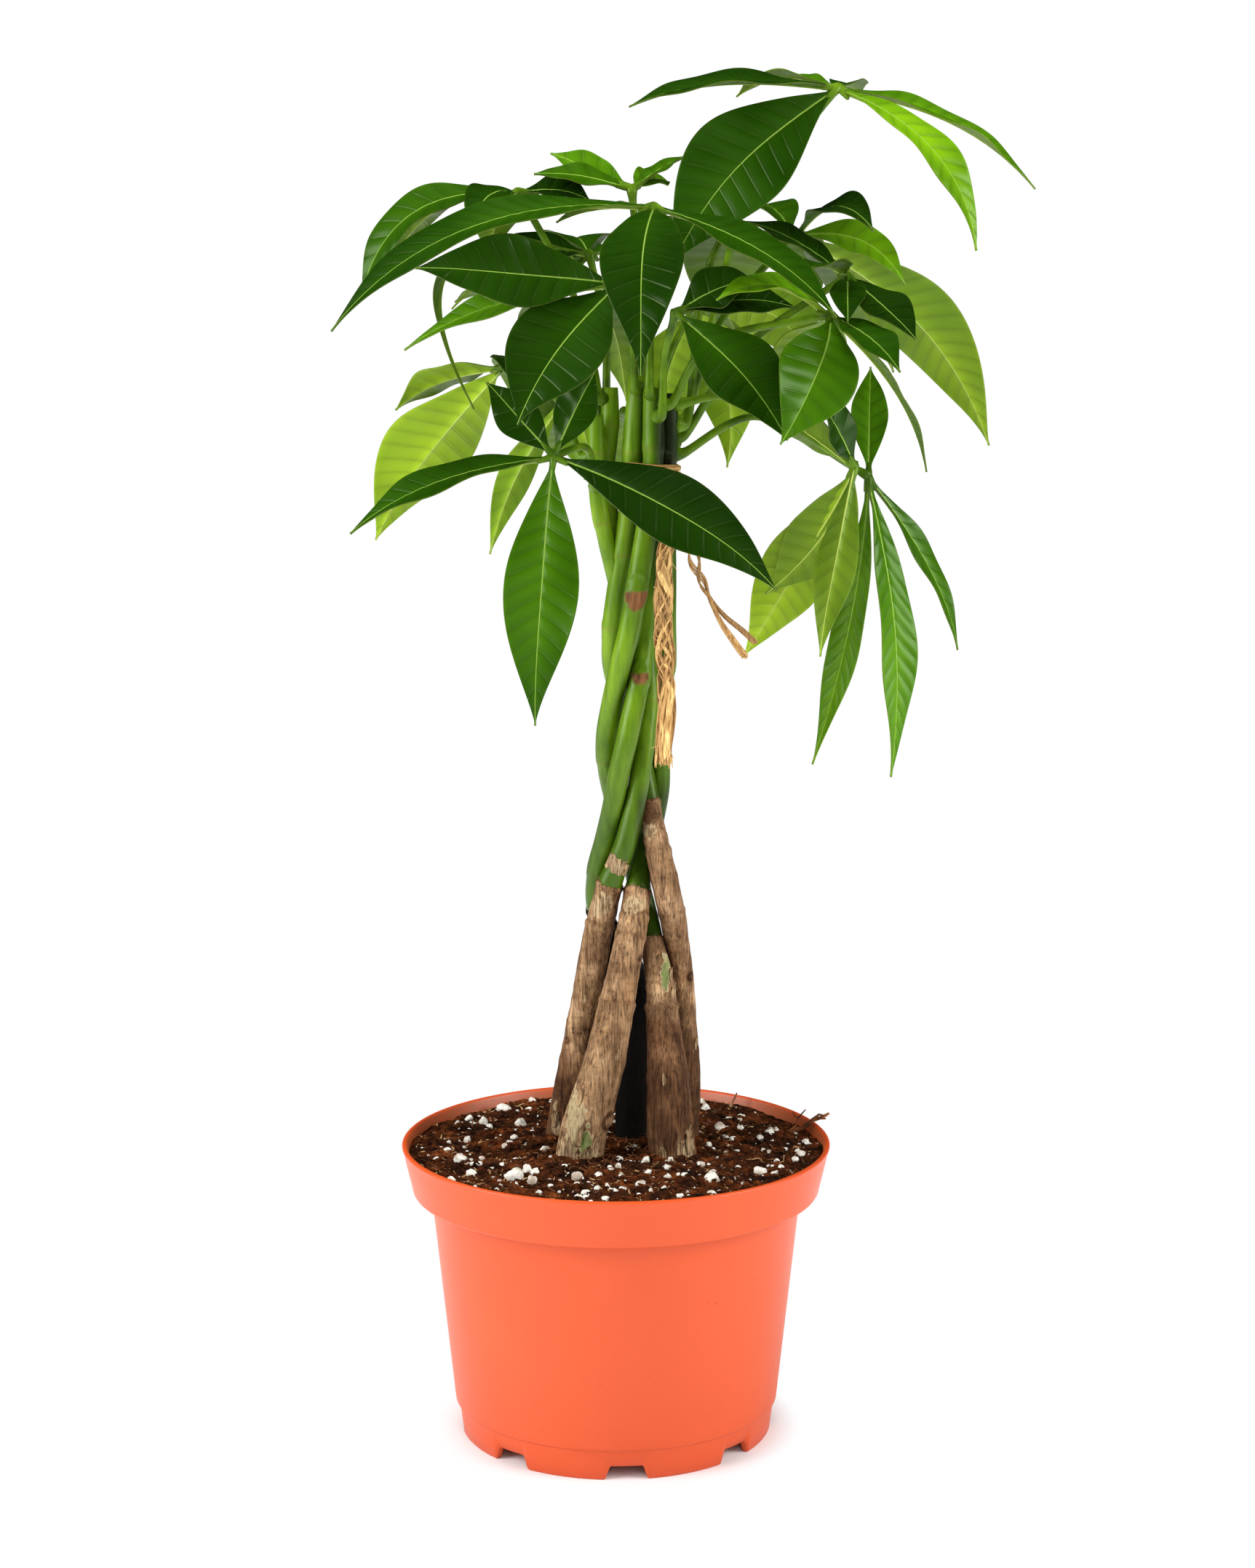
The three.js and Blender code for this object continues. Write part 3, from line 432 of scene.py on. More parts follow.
def open_ground():
    """The part of the soil's surface where grains may lie, clear of trunks and wall."""
    steps = np.linspace(-GRAINS_FIELD, GRAINS_FIELD, 105)
    points = [(x, y, soil_height(x, y)) for y in steps for x in steps]
    faces = []
    for face in grid_faces(len(steps), len(steps), closed=False):
        x, y, _ = (np.array(points[face[0]]) + np.array(points[face[2]])) / 2
        clear = all(math.hypot(x - fx, y - fy) > r + GRAINS_CLEAR for fx, fy, r in TRUNK_FEET)
        if math.hypot(x, y) < GRAINS_REACH and clear:
            faces.append(face)
    mesh = bpy.data.meshes.new("open_ground")
    mesh.from_pydata(to_metres(points).tolist(), [], faces)
    ground = bpy.data.objects.new("open_ground", mesh)
    scene.collection.objects.link(ground)
    return ground


grain_tree = scatter_tree()
ground = open_ground()
for name, slot, numbers in GRAINS:
    grow_over(name, ground, grain_tree, dict(zip(GRAIN_INPUTS, numbers)))
bpy.data.objects.remove(ground)

# Larger perlite lumps: place and half size.
LUMPS = [
    (-46, 56, 3.0), (-59, 42, 2.0), (-53, 33, 2.4), (-58, 8, 1.9), (-38, 32, 2.0), (-38, -41, 3.4),
    (-33, -34, 2.6), (-31, -49, 2.2), (-59, -18, 3.0), (-54, -35, 1.9), (-14, -47, 2.2), (1, -29, 1.5),
    (36, 55, 2.6), (41, 27, 2.0), (60, 18, 1.9), (32, -25, 2.2), (36, -46, 3.2), (54, -35, 2.4),
    (71, -13, 1.9), (68, -21, 1.7), (61, -22, 1.5), (19, -32, 1.3), (-24, -53, 1.4), (34, 66, 2.3),
    (36, 3, 1.4), (45, 9, 1.5), (-65, -2, 1.7), (-4, 58, 2.0)]


def unit(v):
    """A vector's direction."""
    return v / np.linalg.norm(v)


def units(rows):
    """The direction of each row of vectors."""
    return rows / np.linalg.norm(rows, axis=-1)[..., None]


def rough_lump(middle, size, seed):
    """A broken-looking lump: a sphere of points pushed in and out and cut flat in places."""
    random = np.random.default_rng(seed)
    rings, columns = 10, 16
    stretch = random.uniform(0.7, 1.25, 3)
    cuts = [(unit(random.normal(size=3)), random.uniform(0.55, 0.85)) for _ in range(7)]
    points = []
    for i in range(1, rings + 1):
        rise = math.pi * i / (rings + 1)
        for j in range(columns):
            turn = 2 * math.pi * j / columns
            flat = math.sin(rise)
            way = np.array([flat * math.cos(turn), flat * math.sin(turn), -math.cos(rise)])
            reach = min([1.0] + [limit / max(way @ cut, 0.01) for cut, limit in cuts])
            reach += 0.22 * noise.noise(Vector(way * 2.3) + Vector((seed, 0, 0)))
            points.append(middle + way * stretch * size * reach)
    points += [np.mean(points[:columns], axis=0), np.mean(points[-columns:], axis=0)]
    return np.array(points), tube_faces(rings, columns), {}


parts = []
for seed, (x, y, size) in enumerate(LUMPS):
    middle = np.array([x, y, soil_height(x, y) + size * 0.25])
    parts.append(rough_lump(middle, size, seed))
make_piece("perlite_lumps", parts, perlite_white)


def points_at(marks, run, line):
    """The points of a line at given marks along its run."""
    return np.stack([np.interp(marks, run, line[:, i]) for i in range(3)], 1)


def tube(line, side, up, sides, reach, ends):
    """A closed tube: rings of points round a line at their reach, and the middles of its ends."""
    turns = round_turns(sides)
    ring = np.cos(turns)[None, :, None] * side[:, None] + np.sin(turns)[None, :, None] * up[:, None]
    points = (line[:, None] + ring * reach[:, :, None]).reshape(-1, 3)
    return np.vstack([points, *ends]), tube_faces(len(line), sides)


def thin_root(bends, radius):
    """A closed five-sided tube that tapers to its end."""
    bends = np.array(bends, float)
    line = points_at(np.linspace(0, len(bends) - 1, 26), np.arange(len(bends)), bends)
    along = units(np.gradient(line, axis=0))
    side = units(np.cross(along, [0.3, 0.5, 0.8]))
    reach = np.linspace(1.0, 0.45, len(line))[:, None] * radius
    return *tube(line, side, np.cross(along, side), 5, reach, (line[0], line[-1])), {}


def wandering_roots():
    """Reddish hair roots that wander over the soil round the trunks' feet."""
    random = np.random.default_rng(31)
    parts = []
    for _ in range(150):
        angle = random.uniform(0, 2 * math.pi)
        out = random.uniform(10, 44) if random.random() < 0.75 else random.uniform(44, 70)
        x, y = 3 + out * math.cos(angle), -3 + out * math.sin(angle) * 0.9
        heading = random.uniform(0, 2 * math.pi)
        line = []
        for _ in range(7):
            line.append((x, y, soil_height(x, y) + random.uniform(0.1, 1.3)))
            heading += random.uniform(-0.7, 0.7)
            x, y = x + 1.7 * math.cos(heading), y + 1.7 * math.sin(heading)
        if math.hypot(x, y) <= 74:
            parts.append(thin_root(line, random.uniform(0.12, 0.26)))
    return parts


look = Look("root_brown")
patchy = look.grain(160.0, 4.0)
root_brown = look.finish({
    "Base Color": look.ramp(
        patchy, (0.35, (0.035, 0.014, 0.006)), (0.52, (0.15, 0.050, 0.018)), (0.68, (0.36, 0.13, 0.045))),
    "Normal": look.bump(patchy, 0.6, 0.0003),
    "Roughness": 0.8,
    "Specular IOR Level": 0.1})
make_piece("hair_roots", wandering_roots(), root_brown)

# Dark twigs that stick up by the rim at the right, and one pale straw: points in mm, thickness, look.
TWIGS = [
    ([(66, 20, 110), (70.5, 20, 113.8), (71.8, 20, 117.4), (74.3, 20, 120.6)], 0.55, root_brown),
    ([(71.8, 20, 117.0), (70.2, 20, 118.2), (69.6, 20, 119.4)], 0.35, root_brown),
    ([(67, 21, 110.5), (73.3, 20, 112.8), (77.2, 19.5, 115.8), (80.6, 19.5, 117.2), (83.4, 19.5, 119)], 1.15,
     root_brown),
    ([(74, 21, 113.4), (78, 20.5, 116.6), (82.6, 20, 117.0)], 0.9, root_brown),
    ([(77, 19, 116), (79.6, 18.5, 118.8), (82.8, 18.5, 118.2)], 0.65, root_brown),
    ([(45, 56, 109), (47, 57, 113), (49, 58, 117)], 0.7, straw)]
noise.seed_set(1)  # noise_vector would bend the twigs another way in each run without it
for number, (line, radius, material) in enumerate(TWIGS):
    bent = [tuple(np.array(p) + 0.5 * np.array(noise.noise_vector(Vector(p)))) for p in line]
    make_piece(f"twig_{number}", [thin_root(bent, radius)], material)


# ---------- trunks ----------
# Five stems planted together and plaited as they grew. Their lower part is grey-brown bark that
# flakes in long strips, shows green where it has peeled, and ends in a ragged edge.

STEM_ROUTES = {
    "a": (215, [
        (-23, 18, 90, 7.2), (-21.5, 16.5, 106, 7), (-17.3, 11.5, 133, 6.4), (-12.2, 6, 162, 5.9),
        (-7.8, 1.2, 190, 5.4), (-4.8, -1, 205, 5.1), (-2.3, -2.4, 215, 4.7), (0.8, -3.6, 223, 3.9),
        (4, -4.4, 232, 3.9), (7.2, -4, 246, 3.9), (9.4, -2.6, 258, 3.8), (11.2, 0.2, 271, 3.8),
        (12.4, 4.3, 285, 3.8), (11.7, 8.4, 299, 3.8), (10.8, 11.2, 313, 3.8), (10.6, 12.2, 327, 3.8),
        (10.6, 12.5, 345, 3.8), (10.4, 12.4, 371, 3.8), (10.2, 12.4, 394, 3.8)]),
    "b": (213, [
        (-14.6, -13, 90, 9.2), (-14.3, -13, 106, 9.1), (-12.4, -12.4, 120, 8.9), (-8.6, -11.8, 133, 8.6),
        (-4.4, -11.2, 148, 7.9), (-1.3, -10.4, 162, 7.3), (1.8, -9.2, 176, 6.6), (4.6, -7.6, 190, 6),
        (7, -5.2, 203, 5.5), (8.3, -2.2, 213, 4.8), (9.8, 2.2, 221, 3.9), (12.4, 6.6, 231, 3.9),
        (14.8, 9.8, 240, 3.9), (16.6, 11.4, 250, 3.9), (16.8, 11.9, 262, 3.9), (17.6, 12.3, 285, 3.8),
        (19, 12.6, 299, 3.8), (19, 9.8, 315, 3.8), (19.1, 10, 330, 3.8), (18.8, 10.6, 354, 3.8),
        (18.6, 10.4, 371, 3.8), (18.8, 10.4, 392, 3.8)]),
    "c": (193, [
        (22.4, -10.6, 90, 9.2), (22.1, -10.4, 106, 9.1), (20.9, -9.8, 120, 8.9), (20.2, -9.2, 133, 8.4),
        (19.4, -8.2, 148, 7.6), (18, -6, 162, 6.6), (16.8, -3.6, 176, 5.5), (14.3, -0.2, 189, 4.6),
        (11.2, 6, 204, 4.1), (7.3, 10.6, 218, 3.9), (3.4, 12.6, 231, 3.9), (-0.4, 11.2, 245, 3.9),
        (-2.9, 6.8, 258, 3.9), (-3.4, 2.6, 271, 3.9), (-1.4, -1.6, 284, 3.9), (1.6, -4.8, 298, 3.9),
        (5.2, -6.2, 313, 3.9), (7.7, -6.6, 327, 3.9), (9.9, -6.4, 340, 3.9), (12, -5.7, 354, 3.8),
        (13.8, -5, 371, 3.8), (14.1, -5, 402, 3.8)]),
    "d": (246, [
        (25.6, 17.6, 90, 6.4), (26, 16.6, 106, 6), (27.4, 13.2, 133, 5.2), (27.2, 10.6, 148, 4.8),
        (26.3, 7.8, 162, 4.6), (25.2, 5, 176, 4.6), (23.5, 2, 190, 4.6), (21.2, -2, 204, 4.9),
        (18.3, -4, 218, 5.2), (15.6, -2.8, 231, 4.8), (14.1, -0.6, 239, 4.2), (12.9, 2.6, 246, 3.6),
        (10.4, 6.6, 258, 3.8), (6.4, 9.4, 271, 3.9), (2, 9.6, 285, 3.9), (-1.2, 6.4, 299, 3.9),
        (-0.8, 4.2, 313, 3.9), (0.8, 3.2, 327, 3.9), (3, 2, 340, 3.9), (4.9, 1.2, 354, 3.9),
        (6.3, 1, 372, 3.9), (7.4, 1, 390, 3.9), (8.9, 1, 406, 3.8)]),
    "e": (203, [
        (6.4, 13.2, 90, 7), (6.4, 13.2, 106, 7), (7.2, 13.6, 133, 7.2), (7.6, 13.8, 150, 7.2),
        (6.6, 13.8, 162, 7), (3.4, 13.4, 176, 6.4), (-1.2, 12.6, 188, 5.4), (-7.2, 10.4, 204, 4.1),
        (-6.9, 6.6, 218, 4), (-4, 2.2, 231, 4),
        (-1.2, -3, 244, 4), (1.2, -6, 258, 4), (4.2, -7.2, 271, 4), (7.2, -6, 285, 3.9),
        (8.6, -3.4, 292, 3.9), (9.7, 0, 299, 3.9), (11.5, 2.8, 313, 3.9), (13.2, 3, 327, 3.8),
        (14.9, 2.8, 340, 3.8), (16.7, 2.3, 354, 3.8), (18.6, 2, 371, 3.8), (19.2, 1.8, 384, 3.8),
        (19.4, 1.7, 400, 3.8)]),
}


def smooth_line(points, steps):
    """Points spaced evenly in share along a centripetal curve through (x, y, z, radius) points."""
    p = np.array(points, float)
    ends = np.vstack([2 * p[0] - p[1], p, 2 * p[-1] - p[-2]])
    shares = np.linspace(0, 1, steps) * (len(p) - 1)
    spans = np.minimum(shares.astype(int), len(p) - 2)
    t = (shares - spans)[:, None]
    p0, p1, p2, p3 = (ends[spans + i][:, :3] for i in range(4))
    pairs = ((p0, p1), (p1, p2), (p2, p3))
    gap = [np.maximum(np.sum((b - a) ** 2, 1), 1e-9)[:, None] ** 0.25 for a, b in pairs]
    m1 = ((p1 - p0) / gap[0] - (p2 - p0) / (gap[0] + gap[1]) + (p2 - p1) / gap[1]) * gap[1]
    m2 = ((p2 - p1) / gap[1] - (p3 - p1) / (gap[1] + gap[2]) + (p3 - p2) / gap[2]) * gap[1]
    centre = p1 + m1 * t + (3 * (p2 - p1) - 2 * m1 - m2) * t ** 2 + (2 * (p1 - p2) + m1 + m2) * t ** 3
    radius = p[spans, 3] + (p[spans + 1, 3] - p[spans, 3]) * t[:, 0]
    return centre, radius


def run_of(line):
    """How far along a line each of its points is."""
    return np.concatenate([[0], np.cumsum(np.linalg.norm(np.diff(line, axis=0), axis=1))])


def part_of_line(points, low, high, spacing):
    """The stretch of a climbing line between two heights, at about even spacing."""
    centre, radius = smooth_line(points, 4000)
    keep = (centre[:, 2] >= low) & (centre[:, 2] <= high)
    centre, radius = centre[keep], radius[keep]
    run = run_of(centre)
    marks = np.linspace(0, run[-1], max(4, int(run[-1] / spacing)))
    return points_at(marks, run, centre), np.interp(marks, run, radius), marks


def carried_frames(centre):
    """Two directions across a line that turn as little as they can from ring to ring."""
    along = units(np.gradient(centre, axis=0))
    side = np.zeros_like(along)
    way = np.array([1.0, 0, 0])
    for i, t in enumerate(along):
        if abs(way @ t) > 0.95:
            way = np.array([0, 1.0, 0])
        way = way - t * (way @ t)
        way /= np.linalg.norm(way)
        side[i] = way
    return along, side, np.cross(along, side)


def skin(centre, radius, sides, relief=0.0, dome=(0.0, 0.0)):
    """A closed tube. relief gives extra radius for (ring, angle), dome rounds its two ends."""
    along, side, up = carried_frames(centre)
    reach = np.repeat(np.asarray(radius)[:, None], sides, 1) + relief
    ends = (centre[0] - along[0] * dome[0], centre[-1] + along[-1] * dome[1])
    return tube(centre, side, up, sides, reach, ends)


def closeness(points, key, reach):
    """How near each point is to the other stems: 1 where they touch, fading over reach mm. Stems and trunks
    use it as painted shade where they meet.
    """
    near = np.zeros(len(points))
    for other, (_, route) in STEM_ROUTES.items():
        if other == key:
            continue
        centre, radius = smooth_line(route, 900)
        order = np.argsort(centre[:, 2])
        z = centre[order, 2]
        line = (centre[:, 0], centre[:, 1], radius)
        x, y, r = (np.interp(points[:, 2], z, values[order]) for values in line)
        gap = np.hypot(points[:, 0] - x, points[:, 1] - y) - r
        near = np.maximum(near, np.exp(-np.maximum(gap, 0) / reach) * (points[:, 2] < z[-1]))
    return near


BARK_SIDES = 80
BARK_LOW, BARK_STEP = 96, 0.7  # where the bark starts, under the soil, and from ring to ring
# Old leaf rings round the bark: trunk, height, how far it stands out in mm.
BARK_RINGS = [
    ("b", 171, 0.5), ("b", 203, 0.4), ("b", 196, 0.35), ("c", 168, 0.9), ("c", 176, 0.5), ("a", 199, 0.6),
    ("a", 158, 0.3), ("d", 228, 0.45), ("d", 233, 0.35), ("d", 204, 0.3), ("c", 142, 0.3), ("e", 180, 0.4)]
# Where bark has peeled: trunk, height, x offset from its middle, half height, half width, how green.
PEELED = [
    ("b", 127, -5.0, 12, 3.6, 0.62), ("b", 120, 1.0, 5.5, 2.6, 1.0), ("b", 113, -2.0, 8, 8.0, 0.44),
    ("c", 181, 3.2, 6, 2.0, 1.0), ("a", 207, -1.0, 5, 4.0, 0.42), ("b", 208, -1, 3, 4.0, 0.40),
    ("c", 113, 6.0, 7, 2.4, 0.45), ("d", 236, -2, 4, 2.5, 0.36), ("a", 118, -4, 8, 1.6, 0.42)]
# Stubs of dropped shoots: trunk, height, x offset, half size.
STUBS = [("b", 126, 7.6, 3.0), ("d", 178, 3.6, 1.2), ("a", 152, -5.0, 1.0), ("b", 188, 5.0, 0.8)]


def noise_at(x, y, z):
    """Smooth noise at a place."""
    return noise.noise(Vector((x, y, z)))


def ring_noise(scale, level):
    """Smooth noise once round the bark."""
    turns = round_turns(BARK_SIDES)
    return np.array([noise_at(math.cos(t) * scale, math.sin(t) * scale, level) for t in turns])


def hump(away, wide):
    """A smooth rise: 1 at nothing away, and next to nothing from twice as far as it is wide."""
    return np.exp(-((away / wide) ** 2))


def smooth_share(values, low, high):
    share = np.clip((values - low) / (high - low), 0, 1)
    return share * share * (3 - 2 * share)


def bark_relief(centre, radius, marks, key):
    """Fine cracks, swellings and rings of the bark in mm, and how dark each point is."""
    seed = ord(key) * 1.7
    relief = np.zeros((len(marks), BARK_SIDES))
    dark = np.zeros_like(relief)
    for i, mark in enumerate(marks):
        for j, turn in enumerate(round_turns(BARK_SIDES)):
            x, y = math.cos(turn) * radius[i], math.sin(turn) * radius[i]
            crack = noise.fractal(Vector((x * 1.1, y * 1.1, mark * 0.06 + seed)), 0.8, 2.2, 3)
            swell = noise_at(x * 0.12, y * 0.12, mark * 0.03 + seed * 2)
            knobs = noise_at(x * 0.35, y * 0.35, mark * 0.22 + seed)
            relief[i, j] = 0.20 * crack + 0.6 * swell + 0.25 * knobs
    for name, height, out in BARK_RINGS:
        if name != key:
            continue
        away = centre[:, 2][:, None] - height - ring_noise(1, height)[None, :] * 2.2
        relief += out * 0.8 * hump(away, 1.4) - out * 0.4 * hump(away - 1.6, 0.7)
        broken = np.clip(0.5 + 0.9 * ring_noise(3, height + 7), 0.1, 1)[None, :]
        dark = np.maximum(dark, 0.65 * broken * hump(away - 1.0, 0.9))
    return relief, dark


look = Look("bark")
lengthwise = (1.0, 1.0, 0.07)
fibre = look.grain(1500.0, 4.0, 0.7, lengthwise)
band = look.grain(260.0, 3.0, 0.55, lengthwise)
cross = look.grain(620.0, 3.0, 0.6, (0.25, 0.25, 1.0))
bark_tone = look.ramp(
    look.grain(75.0, 5.0, 0.6), (0.28, (0.13, 0.068, 0.032)), (0.43, (0.26, 0.150, 0.074)),
    (0.55, (0.37, 0.228, 0.118)), (0.70, (0.60, 0.40, 0.23)))
bark_tone = look.wash(
    bark_tone, 0.95, fibre, (0.35, (0.26, 0.21, 0.18)), (0.48, (0.95, 0.95, 0.95)), (0.68, (1.6, 1.55, 1.45)))
bark_tone = look.wash(bark_tone, 0.9, band, (0.35, (0.48, 0.42, 0.38)), (0.55, PLAIN), (0.70, (1.2, 1.17, 1.12)))
bark_tone = look.wash(bark_tone, 0.7, cross, (0.34, (0.62, 0.58, 0.55)), (0.42, PLAIN))
# The dark value darkens the bark's own tone. It also carries painted shade, down to near black: on trunk e,
# on the trunks' backs low down, and where trunks nearly touch.
bark_tone = look.wash(
    bark_tone, 1.0, look.value("dark"), (0.0, PLAIN), (0.5, (0.44, 0.34, 0.29)), (1.0, (0.006, 0.004, 0.003)))
cream = look.ramp(fibre, (0.35, (0.30, 0.20, 0.10)), (0.60, (0.62, 0.48, 0.28)))
green = look.ramp(band, (0.35, (0.06, 0.12, 0.015)), (0.65, (0.24, 0.30, 0.10)))
torn = look.maths("ADD", look.value("bare"), look.maths("MULTIPLY_ADD", fibre, 0.9, -0.45))
for under, low, high in ((cream, 0.20, 0.62), (green, 0.55, 1.05)):
    bark_tone = look.mix(look.span(torn, low, high), bark_tone, under)
raised = look.bump(fibre, 0.8, 0.0006)
raised = look.bump(look.grain(1300.0, 3.0, 0.7), 0.5, 0.0004, raised)
bark = look.finish({
    "Base Color": bark_tone,
    "Normal": look.bump(cross, 0.5, 0.0006, raised),
    "Roughness": 0.78,
    "Specular IOR Level": 0.15})


def ring_near(centre, height):
    """Which ring of a line is nearest to a height."""
    return np.argmin(abs(centre[:, 2] - height))


def out_from(points, centre, sides):
    """The way out from a tube's middle line to each of its points."""
    return points - np.vstack([np.repeat(centre, sides, 0), centre[0], centre[-1]])


def peeled_share(points, centre, way, key):
    """How far each point of a trunk has lost its bark."""
    bare = np.zeros(len(points))
    wobble = np.array([noise.noise(Vector(p) / 2.2) * 0.5 + noise.noise(Vector(p) / 6) * 0.5 for p in points])
    in_front = smooth_share(-way[:, 1], -0.1, 0.3)
    for name, height, aside, high, wide, tint in PEELED:
        if name == key:
            across = (points[:, 0] - centre[ring_near(centre, height)][0] - aside) / wide
            rise = (points[:, 2] - height) / high
            patch = smooth_share(1.15 - np.hypot(across, rise) + wobble, 0, 0.35) * in_front
            bare = np.maximum(bare, patch * tint)
    return bare


def build_trunk(key):
    """One trunk's bark, and its middle line for what is fixed to it."""
    top, route = STEM_ROUTES[key]
    centre, radius, marks = part_of_line(route, BARK_LOW, top + 1.5, BARK_STEP)
    if key == "e":
        radius = radius + 1.8 * hump(centre[:, 2] - 177, 12)
    relief, dark = bark_relief(centre, radius, marks, key)
    left = marks[-1] - marks
    ragged = 1.6 + 1.1 * ring_noise(1.1, ord(key)) + 0.9 * ring_noise(4, ord(key))
    calm = smooth_share(left, 0, 9)[:, None]
    over = left[:, None] - ragged[None, :]
    relief = relief * calm + 0.45 * (1 - calm) - 1.6 * smooth_share(-over, 0, 0.9)
    relief += 0.35 * hump(over - 0.7, 0.7)
    foot = np.clip(marks / 22, 0, 1)[:, None]
    relief += 0.9 * (1 - foot) * (0.5 + 0.5 * np.cos(round_turns(BARK_SIDES) * 3 + ord(key)))[None, :]
    points, faces = skin(centre, radius, BARK_SIDES, relief)
    dark = np.append((dark * 0.9).ravel(), [0, 0])
    if key == "c":
        dark = np.maximum(dark, 0.56 * smooth_share(174 - points[:, 2], 0, 16))
    if key in "bd":
        dark = np.maximum(dark, 0.10 if key == "b" else 0.22)
    # Painted shade on the back of each trunk, low down, fading out by 170 mm.
    behind = smooth_share(points[:, 1], -3, 8) * smooth_share(170 - points[:, 2], 0, 30)
    dark = np.maximum(dark, 0.55 * behind)
    # Painted shade where trunks nearly touch, weaker on trunk c.
    dark = np.maximum(dark, (0.6 if key == "c" else 0.95) * closeness(points, key, 2.8))
    out = out_from(points, centre, BARK_SIDES)
    way = out / np.maximum(np.linalg.norm(out, axis=1), 0.5)[:, None]
    # Painted shade: trunk e, deep among the others, is darkened all round and near black on its front, to
    # stand for the dark gap between the trunks.
    if key == "e":
        dark = np.maximum(dark, 0.4 + 0.6 * smooth_share(-way[:, 1], -0.5, 0.0))
    for name, height, aside, size in STUBS:
        if name == key:
            near = ring_near(centre, height)
            deep = math.sqrt(max(radius[near] ** 2 - min(abs(aside), radius[near]) ** 2, 0))
            away = np.linalg.norm(points - centre[near] - np.array([aside, -deep, 0]), axis=1)
            points = points + way * (size * 0.7 * hump(away, size))[:, None]
            dark = np.maximum(dark, 0.8 * hump(away - size * 1.1, 0.8))
    values = {"dark": dark, "bare": peeled_share(points, centre, way, key)}
    make_piece(f"trunk_{key}_bark", [(points, faces, values)], bark, f"trunk_{key}")
    return centre, radius


def bark_values(points, dark, bare):
    """The numbers that the bark's material reads, the same on every point."""
    return {"dark": np.full(len(points), dark), "bare": np.full(len(points), bare)}


def build_sleeve():
    """The last ring of bark that stays on stem a above its ragged edge."""
    centre, radius, marks = part_of_line(STEM_ROUTES["a"][1], 219.5, 227.5, 0.35)
    rim = ring_noise(2, 5)[None, :]
    low, high = marks[:, None] - 1.5 - 1.6 * rim, marks[-1] - marks[:, None] - 1.5 + 1.6 * rim
    relief = 0.35 - 1.0 * smooth_share(-np.minimum(low, high), 0, 0.7)
    rough = [[0.15 * noise_at(math.cos(t) * 3, m * 0.8, 2) for t in round_turns(BARK_SIDES)] for m in marks]
    points, faces = skin(centre, radius, BARK_SIDES, relief + np.array(rough))
    make_piece("bark_sleeve", [(points, faces, bark_values(points, 0.0, 0.36))], bark)


def slab_faces(rows, columns, outward=False):
    """Faces of a thin slab: a grid of points, the same grid behind it, and the rim between them."""
    behind = rows * columns
    faces = grid_faces(rows, columns, closed=False, flip=not outward)
    faces += grid_faces(rows, columns, behind, closed=False, flip=outward)
    rim = list(range(columns))
    rim += [i * columns + columns - 1 for i in range(1, rows)]
    rim += [(rows - 1) * columns + j for j in range(columns - 2, -1, -1)]
    rim += [i * columns for i in range(rows - 2, 0, -1)]
    for a, b in zip(rim, rim[1:] + rim[:1]):
        faces.append((b, a, a + behind, b + behind) if outward else (a, b, b + behind, a + behind))
    return faces


def curled_flake(centre, radius, height, degrees, long, wide, lift, seed):
    """A thin strip of bark that stands off the trunk at its upper or lower end."""
    near = ring_near(centre, height)
    rows, columns = 9, 5
    sheet = []
    for i in range(rows):
        t = i / (rows - 1)
        row = min(len(centre) - 1, near + int(t * long / BARK_STEP))
        taper = math.sin(math.pi * min(1, 0.18 + t * 0.9)) ** 0.6
        for j in range(columns):
            u = j / (columns - 1) - 0.5
            turn = math.radians(degrees) + u * wide * taper / radius[row]
            out = radius[row] + 0.25 + lift * t ** 2.2 + 0.8 * lift * (u * 2) ** 2 * t * 0.4
            rise = 0.8 * noise_at(u * 4, t * 3, seed) * t
            sheet.append(centre[row] + np.array([math.cos(turn) * out, math.sin(turn) * out, rise]))
    sheet = np.array(sheet)
    inward = centre[near] - sheet
    inward[:, 2] = 0
    points = np.vstack([sheet, sheet + units(inward) * 0.35])
    return points, slab_faces(rows, columns, outward=True), bark_values(points, 0.1, 0.30)


# Strips of bark that stand off: trunk, height, degrees round it (-90 faces the viewer), length, width, lift.
FLAKES = [
    ("b", 111, -120, 11, 3.2, 1.6), ("b", 110, -75, 9, 3.8, 2.2), ("b", 114, -56, 9, 2.4, 1.6),
    ("b", 117, -100, 10, 2.6, 1.1), ("b", 132, -130, 8, 2.2, 1.2), ("b", 111, -96, 7, 3.0, 2.0),
    ("c", 112, -72, 10, 2.6, 1.8), ("c", 110, -112, 8, 2.8, 1.3), ("c", 113, -46, 12, 2.2, 2.2),
    ("c", 171, -40, 7, 2.2, 2.2), ("c", 178, -30, 6, 1.8, 1.5), ("a", 116, -130, 8, 2.8, 1.2),
    ("a", 206, -70, 5, 2.6, 1.0), ("b", 204, -110, 4, 2.2, 0.9), ("d", 148, -40, 6, 1.7, 1.0),
    ("a", 168, -100, 6, 1.8, 0.8), ("b", 150, -60, 5, 1.4, 0.7), ("c", 140, -100, 6, 1.4, 0.7)]

trunks = {key: build_trunk(key) for key in STEM_ROUTES}
build_sleeve()
flakes = [curled_flake(*trunks[key], *shape, seed) for seed, (key, *shape) in enumerate(FLAKES)]
make_piece("bark_flakes", flakes, bark)


# ---------- green stems ----------
# Above the bark each stem goes on smooth and green. It swells at its nodes, keeps brown scars where
# leaves have dropped, and ends in a flat cut with a pale rim. Two side shoots leave stem d.

SHOOT_ROUTES = {
    "shoot_1": [(0, 3.4, 330, 3), (-3.4, 1.6, 345, 3.1), (-6.6, 0.4, 362, 3), (-7.4, 0, 392, 2.8)],
    "shoot_2": [
        (1.4, 4, 334, 3), (-1.6, 7.6, 350, 3.1), (-3.8, 9, 368, 3.1), (-2.2, 8, 386, 3.2), (-2.2, 8, 402, 3)],
}
